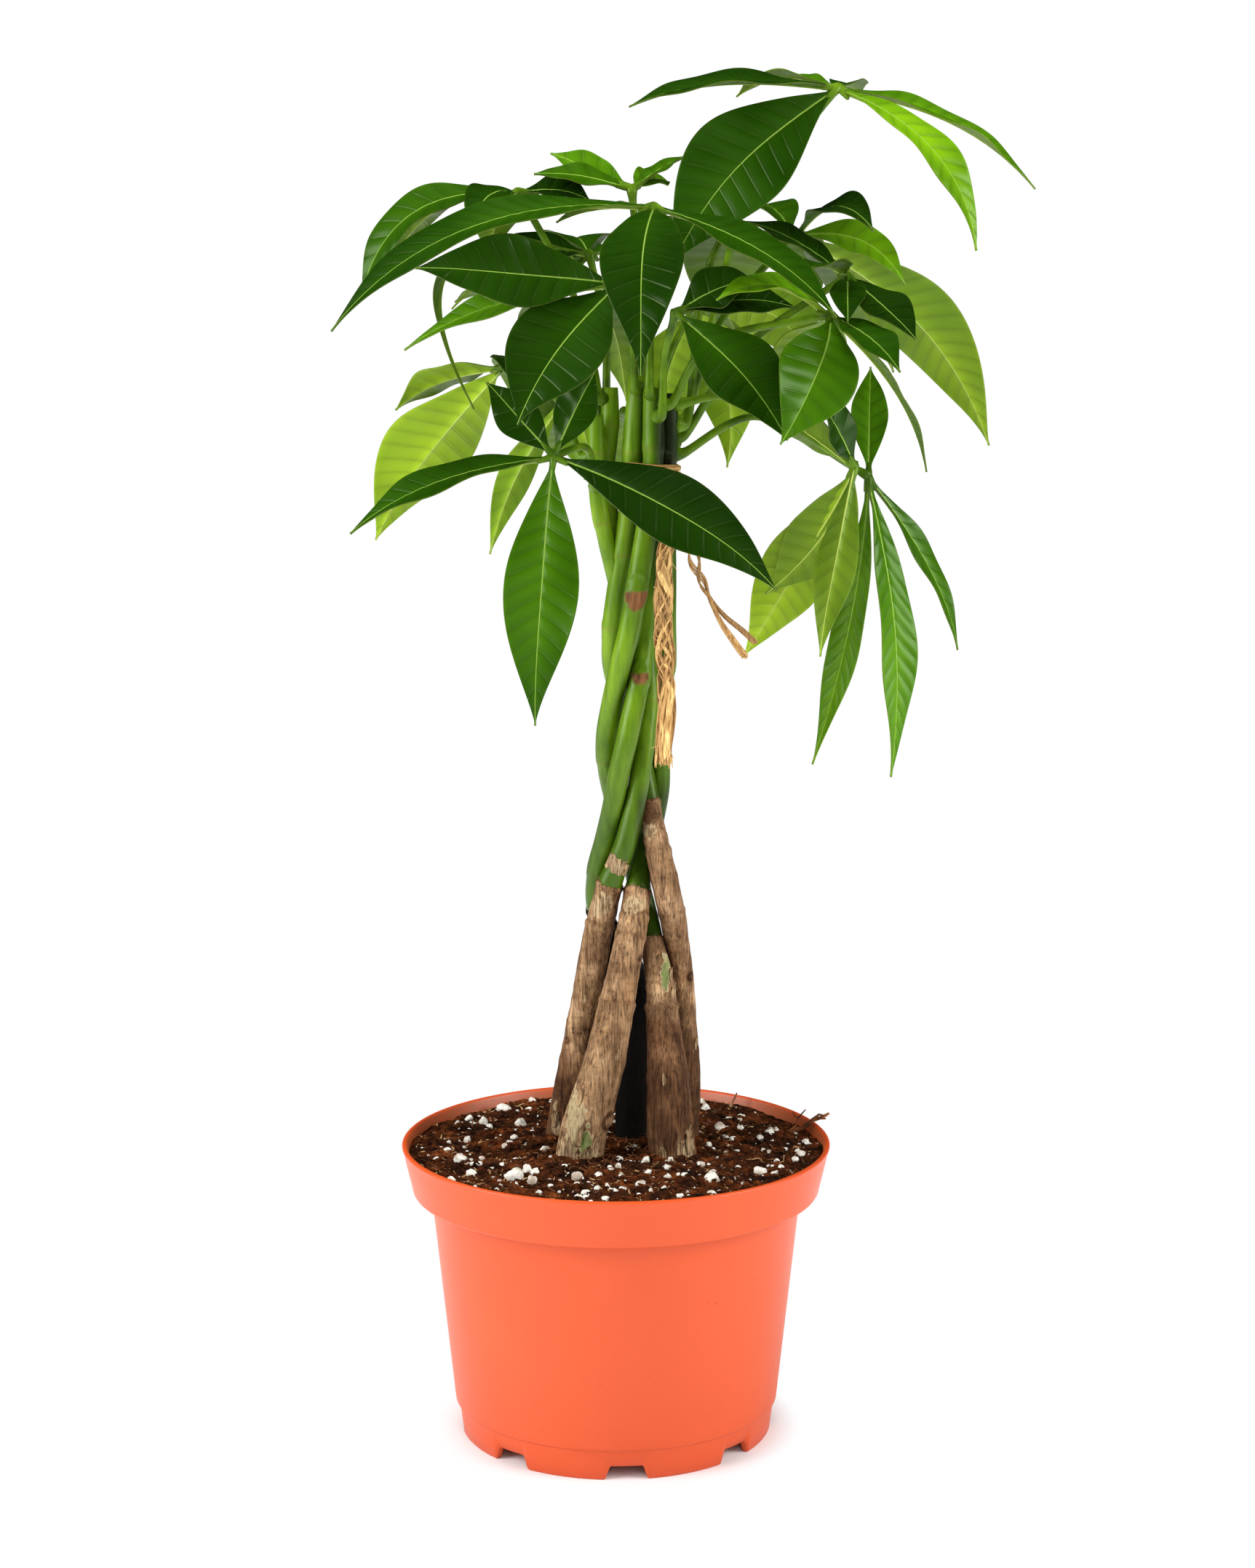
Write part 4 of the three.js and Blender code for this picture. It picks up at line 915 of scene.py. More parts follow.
# Rings round the stem, by height.
NODE_RINGS = {
    "a": [226, 284, 338, 388], "b": [232, 296, 345, 381], "c": [212, 262, 325, 380],
    "d": [262, 312, 340, 378], "e": [218, 293, 342, 376], "shoot_1": [352, 378], "shoot_2": [356, 388]}
# Brown scars: stem, height, angle round it in degrees (-90 faces the viewer), half size in mm.
LEAF_SCARS = [("c", 327, -88, 5.0), ("e", 296, -92, 3.6), ("a", 226, 60, 3.0), ("e", 376, -95, 2.6),
              ("b", 345, 40, 3.0), ("d", 312, 130, 3.2)]

look = Look("stem_green")
streak = look.grain(420.0, 3.0, stretch=(1.0, 1.0, 0.12))
scar = look.value("scar")
body = look.ramp(
    look.grain(38.0, 3.0), (0.32, (0.082, 0.178, 0.002)), (0.50, (0.115, 0.230, 0.003)),
    (0.68, (0.155, 0.280, 0.006)))
body = look.wash(body, 0.8, streak, (0.30, (0.62, 0.66, 0.55)), (0.52, PLAIN), (0.72, (1.35, 1.25, 1.1)))
cork = look.ramp(streak, (0.35, (0.10, 0.036, 0.014)), (0.65, (0.34, 0.135, 0.055)))
body = look.mix(scar, body, cork)
squat = look.add("ShaderNodeMapping", {"Vector": look.place, "Scale": (1, 1, 0.6)}).outputs["Vector"]
dots = look.add("ShaderNodeTexVoronoi", {"Vector": squat, "Scale": 260.0}).outputs["Distance"]
body = look.wash(body, 0.5, dots, (0.05, (0.45, 0.36, 0.20)), (0.11, PLAIN))
# Painted shade: the stems' shade value darkens the green, down to near black where it is full.
body = look.wash(
    body, 1.0, look.value("stem_shade"), (0.0, PLAIN), (0.4, (0.42, 0.47, 0.5)), (1.0, (0.03, 0.04, 0.03)))
stem_green = look.finish({
    "Base Color": body,
    "Roughness": look.span(scar, 0.0, 1.0, 0.36, 0.8),
    "Normal": look.bump(streak, 0.35, 0.0004),
    "Specular IOR Level": 0.42,
    "Specular Tint": (0.85, 1.0, 0.6, 1.0)})

STEM_SIDES = 40
STEM_TOP = 500  # above every stem, which ends where its route ends


def build_stem_skin(name, route, low):
    """One green stem's tube with its node rings, scars and cut top."""
    centre, radius, marks = part_of_line(route, low, STEM_TOP, 0.8)
    ring = np.zeros(len(marks))
    line = np.zeros(len(marks))
    for height in NODE_RINGS[name]:
        away = centre[:, 2] - height
        ring += 0.40 * np.exp(-np.abs(away) / 9) * (away > 0) + 0.40 * hump(away, 1.6) * (away <= 0)
        line += hump(away, 0.5)
    ring *= np.clip((marks[-1] - marks) / 3, 0, 1)
    ring -= 1.1 * smooth_share(low + 7 - centre[:, 2], -0.3, 1.2)
    flutes = 0.12 * np.cos(round_turns(STEM_SIDES) * 2 + len(name))
    points, faces = skin(centre, radius, STEM_SIDES, (ring - 0.12 * line)[:, None] + flutes[None, :])
    scar = np.append(np.repeat(np.clip(line, 0, 1) * 0.24, STEM_SIDES), [0, 0.9])
    for stem, height, degrees, size in LEAF_SCARS:
        if stem != name:
            continue
        near = ring_near(centre, height)
        way = np.array([math.cos(math.radians(degrees)), math.sin(math.radians(degrees)), 0])
        middle = centre[near] + way * radius[near]
        away = np.linalg.norm((points - middle) * np.array([1, 1, 0.7]), axis=1)
        away += np.array([noise.noise(Vector(p) / 1.6) for p in points]) * 0.7
        below = np.clip((height + 0.4 - points[:, 2]) / 0.5, 0, 1)
        scar = np.maximum(scar, np.clip((size - away) / 0.5, 0, 1) * below)
        grow = 0.28 * hump(away - size, 0.5) - 0.15 * np.clip((size - away) / 1.0, 0, 1)
        grow[-2:] = 0
        out = out_from(points, centre, STEM_SIDES)
        length = np.linalg.norm(out, axis=1)[:, None]
        points = points + np.where(length > 0.5, out / np.maximum(length, 0.5), 0) * grow[:, None]
    return points, faces, {"scar": scar}


for key, (split, route) in STEM_ROUTES.items():
    parts = [build_stem_skin(key, route, split - 7)]
    if key == "d":
        parts += [build_stem_skin(name, branch, 0) for name, branch in SHOOT_ROUTES.items()]
    points, faces, values = join(parts)
    # Painted shade on the right-hand stems above 300 mm, strongest on their front.
    stem_shade = np.clip((points[:, 0] - 12.5) / 4, 0, 1) * np.clip((points[:, 2] - 300) / 30, 0, 1)
    stem_shade *= 0.45 + 0.55 * smooth_share(4 - points[:, 1], 0, 6)
    # Painted shade low down on the stems right of the middle, below about 260 mm.
    low_right = np.clip((points[:, 0] - 4) / 5, 0, 1) * np.clip((262 - points[:, 2]) / 15, 0, 1)
    stem_shade = np.maximum(stem_shade, 0.8 * low_right)
    # Darker towards the bottom, below 300 mm.
    stem_shade = np.maximum(stem_shade, 0.40 * smooth_share(300 - points[:, 2], 0, 60))
    # Painted shade where the stems nearly touch.
    values["stem_shade"] = np.maximum(stem_shade, closeness(points, key, 2.0))
    make_piece(f"stem_{key}_green", [(points, faces, values)], stem_green, f"stem_{key}")


# ---------- leaves ----------
# Hand-shaped leaves on long stalks. Each leaflet is a thin glossy blade on a short foot, quilted
# between its side veins, with a pale midrib that stands out below and a tip drawn out to a drip.

UP = (0, 0, 1)
FRONT = (0, -1, 0.35)
TILTED = (0, -0.6, 1)
AWAY = (0, 0.9, 0.6)
STALK_FOOT, STALK_THIN = 2.1, 1.35  # a stalk's radius at its foot and along its length
HUB = 2.4
BLADE_THICK = 0.42
BLADE_VEIN_GAP = 6.6  # mm of blade between one pair of side veins and the next
BLADE_COLUMNS = np.array([-1, -0.965, -0.86, -0.7, -0.52, -0.34, -0.18, -0.08, -0.03, 0,
                          0.03, 0.08, 0.18, 0.34, 0.52, 0.7, 0.86, 0.965, 1])

# Leaf: name, stem, height where its stalk leaves, a point it passes, its hub, and its leaflets as (tip,
# width, bow, the way its upper side looks, how fresh a green it is together with painted light and shade,
# sideways bow).
LEAVES = [
    ("top_right", "e", 388, (36, 7, 450), (82, 10, 512), [
        ((5, 0, 504), 26, 4, (0, -0.25, 1), 0.1), ((46, 46, 511), 18, 5, UP, 0.5),
        ((21, -7, 447), 38, 4.5, (-0.2, -1, 0.3), 0.25), ((95, 74, 513), 14, 2, UP, 0.3),
        ((159, 35, 476), 24, 6.5, (0, -0.35, 1), 0.5),
        ((132, -8, 452), 18, 11, (0.5, -0.7, 0.6), 0.75)]),
    ("right_high", "b", 389.5, (38, 16, 424), (67, 22, 459), [
        ((50, 58, 467), 22, 6, UP, 0.4), ((94, -12, 459), 20, 9, (0, -0.55, 1), 0),
        ((108, 12, 440), 15, 7, (0.3, -0.8, 0.5), 0.8), ((147, 65, 378), 30, 11, (0.3, 1, 0.5), 0.75),
        ((112, 100, 406), 30, 8, UP, 0.4)]),
    ("right_middle", "b", 383.5, (46, 1, 415), (85, -10, 443), [
        ((46, 3, 463), 17, 2, (0, -0.3, 1), 0), ((70, -28, 445), 20, 2, UP, 0.2),
        ((107, -45, 420), 19, 1, (0.1, -0.5, 1), 0), ((83, -40, 426), 13, 2, UP, 0.1)]),
    ("right_front", "c", 396, (34, -14, 418), (78, -27, 429), [
        ((36, -42, 434), 20, 7, (0, -0.35, 1), 0.6), ((58, -65, 384), 29, 2, (0.2, -1, 0.3), 0.42, 6),
        ((100, -60, 409), 17, 2, (0.2, -0.6, 0.8), 0.3), ((114, -20, 372), 14, 5, (1, 0, 0.5), 0.5),
        ((66, 30, 392), 28, 4, UP, 0.7)]),
    ("crown", "c", 400, (13, -10, 432), (14, -15, 468), [
        ((9, -76, 408), 29, 14, UP, 0.1), ((-101, -42, 423), 24, 15, (0, -0.45, 1), 0.25),
        ((78, -53, 428), 20, 5, (0.1, -0.5, 1), 0.15), ((-22, 16, 463), 16, 2, UP, 0.2)]),
    ("young", "d", 404, (9, 4, 440), (6, 5, 475), [
        ((-24, 13, 488), 13, 0.5, (0, -0.8, 0.6), 0.55), ((-30, 3, 480), 12, 1.5, (0, -0.6, 0.8), 0.4),
        ((20, 30, 478), 13, 2, (0, -0.8, 0.7), 0.6), ((28, 26, 488), 12, 1, UP, 0.4)]),
    ("left_high", "shoot_2", 398, (-14, 2, 432), (-36, 5, 474), [
        ((-94, 2, 436), 22, 13, (-0.2, -0.6, 1), 0.36), ((-9, 3, 470), 17, 2, TILTED, 0),
        ((-52, -16, 459), 16, 6, TILTED, 0.15), ((-50, 68, 450), 28, 9, UP, 0.3),
        ((-86, 46, 450), 26, 8, UP, 0.3)]),
    ("left_front", "d", 402, (6, -12, 424), (1, -33, 440), [
        ((-70, -53, 445), 28, 1, (0, -1, 0.55), 0.1), ((-34, -66, 391), 36, 3, (-0.2, -1, 0.5), 0.1),
        ((-78, -2, 416), 16, 4, (0, -0.6, 0.8), 0.5)]),
    ("centre", "c", 392, (18, -14, 414), (22, -24, 430), [
        ((51, -22, 441), 20, 2, (0, -0.8, 0.8), 0), ((66, -18, 431), 18, 3, (0, -0.7, 0.8), 0),
        ((61, -55, 385), 28, 2, (0.2, -1, 0.5), 0.2)]),
    ("back_right_low", "a", 386, (20, 32, 412), (30, 46, 432), [
        ((44, 72, 369), 26, 14, AWAY, 0.9), ((22, 62, 373), 24, 12, AWAY, 0.9),
        ((78, 62, 404), 28, 12, AWAY, 0.9), ((52, 92, 402), 28, 14, UP, 0.5)]),
    ("left_middle", "shoot_1", 376, (-22, 6, 398), (-42, 10, 410), [
        ((-84, 30, 393), 18, 3, (0, 0.5, 1), 0.6), ((-94, 50, 342), 35, 3, (-0.3, 1, 0.6), 0.85),
        ((-33, -20, 399), 20, 8, UP, 0.1), ((-30, 72, 378), 28, 15, UP, 0.3)]),
    ("low_front", "shoot_1", 366, (-10, -16, 380), (-22, -45, 379), [
        ((-94, -56, 352), 20, 5, (0, -0.4, 1), 0.22), ((-28, -76, 286), 26, 7, FRONT, 0.40),
        ((57, -70, 333), 26, 5, (0.2, -1, 0.4), 0), ((-46, -40, 405), 16, 0, (-0.3, -0.6, 0.6), 0.1),
        ((-7, -32, 409), 15, 0, (0.3, -0.6, 0.6), 0.15)]),
    ("low_right", "b", 377, (52, 13, 391), (95, 8, 369), [
        ((98, 42, 409), 14, 1, (0, -1, 0.5), 0.6), ((131, 20, 302), 14, 4, (0.9, -0.6, 0.4), 0.4),
        ((103, -14, 258), 18, 3, (0.6, -0.7, 0.3), 0.55, 3),
        ((76, 24, 257), 15, -2, (-0.5, -0.7, 0.3), 0.75, -5)]),
    ("low_right_front", "e", 396, (44, -7, 399), (88, -18, 374), [
        ((57, 15, 324), 24, -3, (0, 1, 0.3), 0.6, -4), ((50, 44, 297), 26, -3, (0, 1, 0), 0.9),
        ((74, -46, 307), 15, 2, (0.3, 0.9, 0.3), 0.5), ((49, -12, 399), 20, 1, (0, 0.6, 0.8), 0.5),
        ((72, -42, 398), 18, 2, (0.2, -0.8, 0.5), 0.2)]),
    ("left_inner", "shoot_2", 390, (-4, 17, 424), (-10, 22, 452), [
        ((-45, 12, 440), 26, 6, TILTED, 0), ((-53, 8, 394), 17, 38, (-1, 0, 0.4), 0.25),
        ((-62, 24, 431), 14, 5, UP, 0.6), ((-22, 88, 438), 30, 12, UP, 0.3),
        ((16, 56, 430), 26, 12, UP, 0.3)]),
    ("back_left", "shoot_2", 382, (-8, 26, 408), (-15, 46, 430), [
        ((-64, 82, 434), 30, 5, UP, 0.3), ((-28, 118, 392), 30, 17, UP, 0.2),
        ((4, 122, 394), 34, 17, UP, 0.3)]),
    ("back_right", "b", 380, (36, 34, 424), (45, 52, 458), [
        ((80, 110, 424), 32, 16, UP, 0.2), ((42, 132, 416), 34, 17, UP, 0.3),
        ((10, 98, 440), 28, 14, UP, 0.3)]),
    ("back_low", "a", 378, (10, 28, 390), (3, 42, 392), [
        ((-28, 86, 372), 28, 2, UP, 0.3), ((-4, 110, 350), 32, 12, UP, 0.2)]),
    ("left_back_low", "shoot_1", 386, (-12, 18, 398), (-20, 26, 398), [
        ((-49, 42, 337), 13, 2, AWAY, 1), ((-12, 36, 366), 24, 6, AWAY, 1)]),
]


def blade_half_width(t, wide):
    """Half a leaflet's width at a share of its length: wedge foot, full middle, drawn-out tip."""
    s = t ** 1.1
    swell = np.maximum(np.sin(np.pi * s), 0) ** 1.15 * (1 - 0.35 * s ** 4)
    return np.maximum(1.1 + (0.35 - 1.1) * t, wide / 2 * swell * 1.04)


def blade(hub, tip, wide, bow, face, number, side=0):
    """A quilted blade: points of both faces, quads, and what its material needs to know."""
    hub, tip, face = (np.array(v, float) for v in (hub, tip, face))
    along = unit(tip - hub)
    start = hub + along * HUB * 0.6
    chord = tip - start
    lift = unit(np.array([0, 0, 1.0]) - along * along[2])
    length = np.linalg.norm(chord)
    pairs = max(5, round(length / BLADE_VEIN_GAP))
    rows = pairs * 6 + 1
    share = np.linspace(0, 1, rows)[:, None]
    u = BLADE_COLUMNS[None, :]
    edge = abs(u)
    t = np.clip(share + 0.085 * edge * np.sin(np.pi * share) ** 0.7, 0, 1)
    phase = number * 2.399
    droop = 6.75 * length * (0.018 if bow > 1.5 else 0.006)
    pull = lift * bow + np.cross(lift, along) * side
    centre = start + chord * t[..., None] + pull * (4 * t * (1 - t))[..., None]
    centre = centre + lift * (droop * t * t * (1 - t))[..., None]
    tangent = chord + pull * (4 * (1 - 2 * t))[..., None]
    tangent = units(tangent + lift * (droop * (2 * t - 3 * t * t))[..., None])
    normal = units(face - tangent * (tangent @ face)[..., None])
    across = np.cross(tangent, normal)
    half = blade_half_width(t, wide)
    quilt = (np.abs(np.sin(np.pi * pairs * share)) - 0.55) * np.sin(np.pi * np.clip(edge * 1.05, 0, 1)) ** 0.6
    quilt *= 0.60 * np.clip(half / 10, 0.15, 1)
    wave = 0.85 * edge ** 3 * np.sin(2 * np.pi * (2.3 * t) + phase + (u > 0) * 1.9) * np.clip(half / 8, 0, 1)
    height = edge * half * 0.16 + quilt + wave - 0.5 * hump(u * half, 0.7) * (1 - t)
    side_shift = 0.035 * length * np.sin(np.pi * t) ** 2 * math.sin(phase * 1.7) * 0.35
    middle = centre + across * (u * half + side_shift)[..., None] + normal * height[..., None]
    rib = hump(u * half, 0.75) * (0.95 - 0.75 * t)
    upper = middle + normal * (BLADE_THICK / 2)
    lower = middle - normal * (BLADE_THICK / 2 + rib)[..., None]
    shape = (rows, len(BLADE_COLUMNS))
    told = {"rib_mm": edge * half, "vein": share * pairs, "along": t, "edge": edge}
    values = {name: np.tile(np.broadcast_to(numbers, shape).ravel(), 2) for name, numbers in told.items()}
    values["under"] = np.repeat([0.0, 1.0], rows * len(BLADE_COLUMNS))
    return np.concatenate([upper.reshape(-1, 3), lower.reshape(-1, 3)]), slab_faces(*shape), values


SMOOTH = "SMOOTHSTEP"
look = Look("leaf_green")
fresh_and_lit, under, along = look.value("fresh_and_lit"), look.value("under"), look.value("along")
vein, edge = look.value("vein"), look.value("edge")
cloud = look.grain(30.0)
# A leaflet's green is how fresh it is and also painted light and shade: bright yellow-green where light would
# come through it from behind, dark where it lies in shade.
deep = look.ramp(
    fresh_and_lit, (0.0, (0.006, 0.027, 0.0005)), (0.30, (0.015, 0.062, 0.0005)), (0.55, (0.065, 0.190, 0.002)),
    (1.0, (0.15, 0.33, 0.004)))
pale = look.ramp(
    fresh_and_lit, (0.0, (0.045, 0.110, 0.008)), (0.45, (0.105, 0.195, 0.010)), (1.0, (0.27, 0.44, 0.012)))
body = look.mix(under, deep, pale)
body = look.wash(
    body, 0.7, cloud, (0.28, (0.62, 0.66, 0.6)), (0.50, (0.98, 0.98, 1)), (0.72, (1.45, 1.3, 1.1)))
body = look.wash(body, 0.8, look.grain(11.0, 1.0), (0.36, (0.55, 0.62, 0.6)), (0.62, (1.35, 1.25, 1.0)))
body = look.wash(
    body, 0.85, edge, (0.0, (1.25, 1.2, 1.0)), (0.45, (0.92, 0.94, 1.0)), (0.85, (0.80, 0.85, 0.9)),
    (1.0, PLAIN))
# The side veins lie in troughs, a little paler than the blade, and stop short of its edge.
# The troughs are darkened and the blade between them a little lightened, as painted shade and highlight.
beat = look.maths("ABSOLUTE", look.maths("SINE", look.maths("MULTIPLY", vein, math.pi)))
side_vein = look.span(beat, 0.03, 0.26, 1.0, 0.0, SMOOTH)
side_vein = look.maths("MULTIPLY", side_vein, look.span(edge, 0.72, 0.97, 1.0, 0.0, SMOOTH))
trough_shade = look.span(beat, 0.0, 1.0, 0.84, 1.07, SMOOTH)
trough_shade = look.add("ShaderNodeCombineColor", {0: trough_shade, 1: trough_shade, 2: trough_shade}).outputs[0]
body = look.mix(0.7, body, trough_shade, "MULTIPLY")
vein_tone = look.mix(under, (0.10, 0.24, 0.012, 1), (0.30, 0.42, 0.05, 1))
body = look.mix(look.maths("MULTIPLY", side_vein, 0.07), body, vein_tone)
# The pale midrib narrows to the tip.
rib_wide = look.span(along, 0.0, 1.0, 1.0, 0.35, SMOOTH)
midrib = look.span(look.maths("DIVIDE", look.value("rib_mm"), rib_wide), 0.16, 0.46, 1.0, 0.0, SMOOTH)
rib_tone = look.mix(under, (0.26, 0.42, 0.060, 1), (0.48, 0.58, 0.13, 1))
body = look.mix(look.maths("MULTIPLY", midrib, 0.88), body, rib_tone)
stalk_tone = look.ramp(look.grain(90.0), (0.35, (0.035, 0.085, 0.003)), (0.65, (0.120, 0.230, 0.008)))
body = look.mix(look.value("stalk"), body, stalk_tone)
margin = look.maths("MULTIPLY", look.span(edge, 0.975, 1.0, kind=SMOOTH), 0.22)
gloss = look.span(cloud, 0.3, 0.7, 0.26, 0.38, SMOOTH)
leaf_green = look.finish({
    "Base Color": look.mix(margin, body, (0.14, 0.130, 0.020, 1)),
    "Roughness": look.maths("ADD", gloss, look.maths("MULTIPLY", under, 0.14)),
    "Normal": look.bump(side_vein, 0.35, 0.0007),
    "Specular IOR Level": 0.27,
    "Specular Tint": (0.78, 1.0, 0.55, 1.0)})


def stem_place(name, height):
    """The middle and radius of a stem or shoot at a height."""
    route = STEM_ROUTES[name][1] if name in STEM_ROUTES else SHOOT_ROUTES[name]
    centre, radius = smooth_line(route, 2000)
    near = np.argmin(abs(centre[:, 2] - height))
    return centre[near], radius[near]


def stalk_part(points, faces):
    """A part with no blade, with the numbers that the leaf's material reads."""
    zero = np.zeros(len(points))
    return points, faces, {"rib_mm": zero + 9, "vein": zero + 0.5, "along": zero, "edge": zero + 0.5,
                           "under": zero, "fresh_and_lit": zero + 0.5, "stalk": zero + 1.0}


def build_leaf(number, name, stem, at, via, hub, leaflets):
    """One leaf: its stalk out of a stem, and a short foot and a blade for each leaflet."""
    middle, radius = stem_place(stem, at)
    way = unit(np.array([via[0] - middle[0], via[1] - middle[1], 0.0]))
    foot = middle + way * (radius + 0.8)
    inside = middle + way * (radius - 1.2)
    out = foot + way * 2.5
    centre, thick = smooth_line([
        (*foot, STALK_FOOT), (out[0], out[1], out[2] + 0.6, STALK_FOOT * 0.8), (*via, STALK_THIN),
        (*hub, STALK_THIN)], 60)
    centre = np.vstack([inside, centre])
    thick = np.concatenate([[STALK_FOOT * 1.15], thick])
    thick = thick + 0.75 * hump(np.linalg.norm(centre - centre[-1], axis=1), 3.2)
    thick = thick + 0.6 * hump(np.linalg.norm(centre - foot, axis=1), 3)
    parts = [stalk_part(*skin(centre, thick, 14, dome=(0, 1.2)))]
    for i, (tip, wide, bow, face, fresh_and_lit, *side) in enumerate(leaflets):
        points, faces, values = blade(hub, tip, wide, bow, face, number * 7 + i, *side)
        values["fresh_and_lit"] = np.full(len(points), fresh_and_lit)
        values["stalk"] = np.clip(1 - values["along"] / 0.045, 0, 1)
        parts.append((points, faces, values))
        along = unit(np.array(tip, float) - np.array(hub, float))
        stub = np.array(hub, float) + along * np.linspace(0, 6, 9)[:, None]
        thick = np.interp(np.linspace(0, 1, 9), [0, 0.5, 1], [1.5, 1.25, 0.75])
        parts.append(stalk_part(*skin(stub, thick, 10, dome=(0.4, 0.5))))
    make_piece(f"leaf_{name}_blades", parts, leaf_green, f"leaf_{name}")


for number, leaf in enumerate(LEAVES):
    build_leaf(number, *leaf)


# ---------- raffia tie ----------
# Strands of dry raffia wound round the stems in two layers and knotted at the right. One tail hangs
# down the front as a loose plait, the other is twisted and splits into two ends.

TIE_HEIGHT = 370
TIE_KNOT = (22.4, -5.6, 367.5)
TIE_WIDE = 6.0
TIE_LAYERS, TIE_WINDS = 2, 7
TAIL_LONG = [
    (21.6, -8.6, 361.6), (20.4, -11.4, 354), (18.4, -12.4, 342), (17.8, -12.6, 328), (17.8, -12.4, 313),
    (18.2, -11.8, 301), (19.2, -11.2, 288), (18.5, -10.8, 274), (17.8, -10.6, 262)]
TAIL_SHORT = [
    (26.2, -7.4, 361.8), (27.8, -9, 350), (29.8, -10, 337), (34.4, -11, 326), (40, -11, 317),
    (45.8, -10.6, 310.5), (51.4, -10, 304.2)]

look = Look("raffia")
thread = look.grain(1600.0, 4.0, 0.7, (1.0, 1.0, 0.08))
tone = look.ramp(
    thread, (0.28, (0.22, 0.105, 0.030)), (0.47, (0.60, 0.35, 0.110)), (0.64, (0.88, 0.59, 0.23)))
raffia = look.finish({
    "Base Color": look.wash(
        tone, 0.8, look.value("strand"), (0.0, (0.34, 0.25, 0.20)), (0.35, (0.74, 0.64, 0.56)), (0.7, PLAIN),
        (1.0, (1.22, 1.28, 1.35))),
    "Normal": look.bump(thread, 0.6, 0.0005),
    "Roughness": 0.72})

RIBBON_SIDES = 8


def ribbon(centre, wide, thick, tone, tilt=0.0, across=None):
    """One flat raffia strand along points, as a closed eight-sided skin with its own tone."""
    along, side, up = carried_frames(centre)
    if across is not None:
        side = units(across - along * np.sum(across * along, axis=1)[:, None])
        up = np.cross(along, side)
    turns = round_turns(RIBBON_SIDES)
    tilt = np.broadcast_to(tilt, len(centre))[:, None]
    wide = np.broadcast_to(wide, len(centre))[:, None]
    a, b = np.cos(turns) * wide, np.sin(turns) * thick
    x, y = a * np.cos(tilt) - b * np.sin(tilt), a * np.sin(tilt) + b * np.cos(tilt)
    points = (centre[:, None] + side[:, None] * x[..., None] + up[:, None] * y[..., None]).reshape(-1, 3)
    points = np.vstack([points, centre[0], centre[-1]])
    tone = np.broadcast_to(tone, len(centre))
    strand = np.append(np.repeat(tone, RIBBON_SIDES), [tone[0], tone[-1]])
    return points, tube_faces(len(centre), RIBBON_SIDES), {"strand": strand}


def even_line(points, count):
    """count points at even distance along a smooth line, and the line's length."""
    fine, _ = smooth_line([(*p, 0) for p in points], 1500)
    run = run_of(fine)
    return points_at(np.linspace(0, run[-1], count), run, fine), run[-1]


def tie_reach(angle, held, middle):
    """How far a taut band is from the middle of the stems at an angle round them."""
    reach = 1e9
    for turn in range(-80, 81, 4):
        other = angle + math.radians(turn)
        way = np.array([math.cos(other), math.sin(other)])
        support = max((c[:2] - middle) @ way + r for c, r in held)
        reach = min(reach, support / math.cos(other - angle))
    return reach


def build_tie_band():
    """Two layers of seven winds round the stems, and the loops of the knot."""
    held = [stem_place(key, TIE_HEIGHT) for key in STEM_ROUTES]
    middle = np.mean([c[:2] for c, _ in held], axis=0)
    random = np.random.default_rng(4)
    parts = []
    angles = np.linspace(0, 2 * math.pi, 97)
    reach = np.array([tie_reach(a, held, middle) for a in angles])
    for wind in range(TIE_LAYERS * TIE_WINDS):
        layer, place = divmod(wind, TIE_WINDS)
        level = TIE_HEIGHT - TIE_WIDE / 2 + TIE_WIDE * place / (TIE_WINDS - 1) + random.uniform(-0.4, 0.4)
        out = reach + 0.9 + 0.55 * layer + 0.25 * np.sin(angles * 5 + wind)
        tilt = 1.2 * np.sin(angles + random.uniform(0, 6))
        x, y = middle[0] + out * np.cos(angles), middle[1] + out * np.sin(angles)
        ring = np.stack([x, y, level + tilt * 0.7], 1)
        parts.append(ribbon(ring, 0.62, 0.34, random.uniform(0.1, 0.95), angles * random.integers(1, 3)))
    knot = np.array(TIE_KNOT)
    for _ in range(7):
        axis = unit(random.normal(size=3) + np.array([0.6, -0.8, 0]))
        side = unit(np.cross(axis, [0.1, 0.2, 1]))
        up = np.cross(axis, side)
        turns = np.linspace(0, 2 * math.pi, 40)
        size = random.uniform(2.1, 3.2)
        ring = knot + side * np.cos(turns)[:, None] * size + up * np.sin(turns)[:, None] * size * 0.8
        ring = ring + axis * random.uniform(-0.7, 0.7)
        parts.append(ribbon(ring, 0.8, 0.5, random.uniform(0.1, 0.95), turns * 0.5))
    make_piece("raffia_band", parts, raffia, "tie_band")


TAIL_STEPS = 220


def tail_frame(route):
    """A tail's middle line with the directions across it and towards the viewer."""
    line, length = even_line(route, TAIL_STEPS)
    along = carried_frames(line)[0]
    facing = np.array([0.15, -1, 0])
    depth = units(facing - along * (along @ facing)[:, None])
    return line, length, np.cross(depth, along), depth, np.linspace(0, 1, TAIL_STEPS)


def hang_tail(name, node, parts):
    """A tail's strands as one piece."""
    piece = make_piece(name, parts, raffia, node)


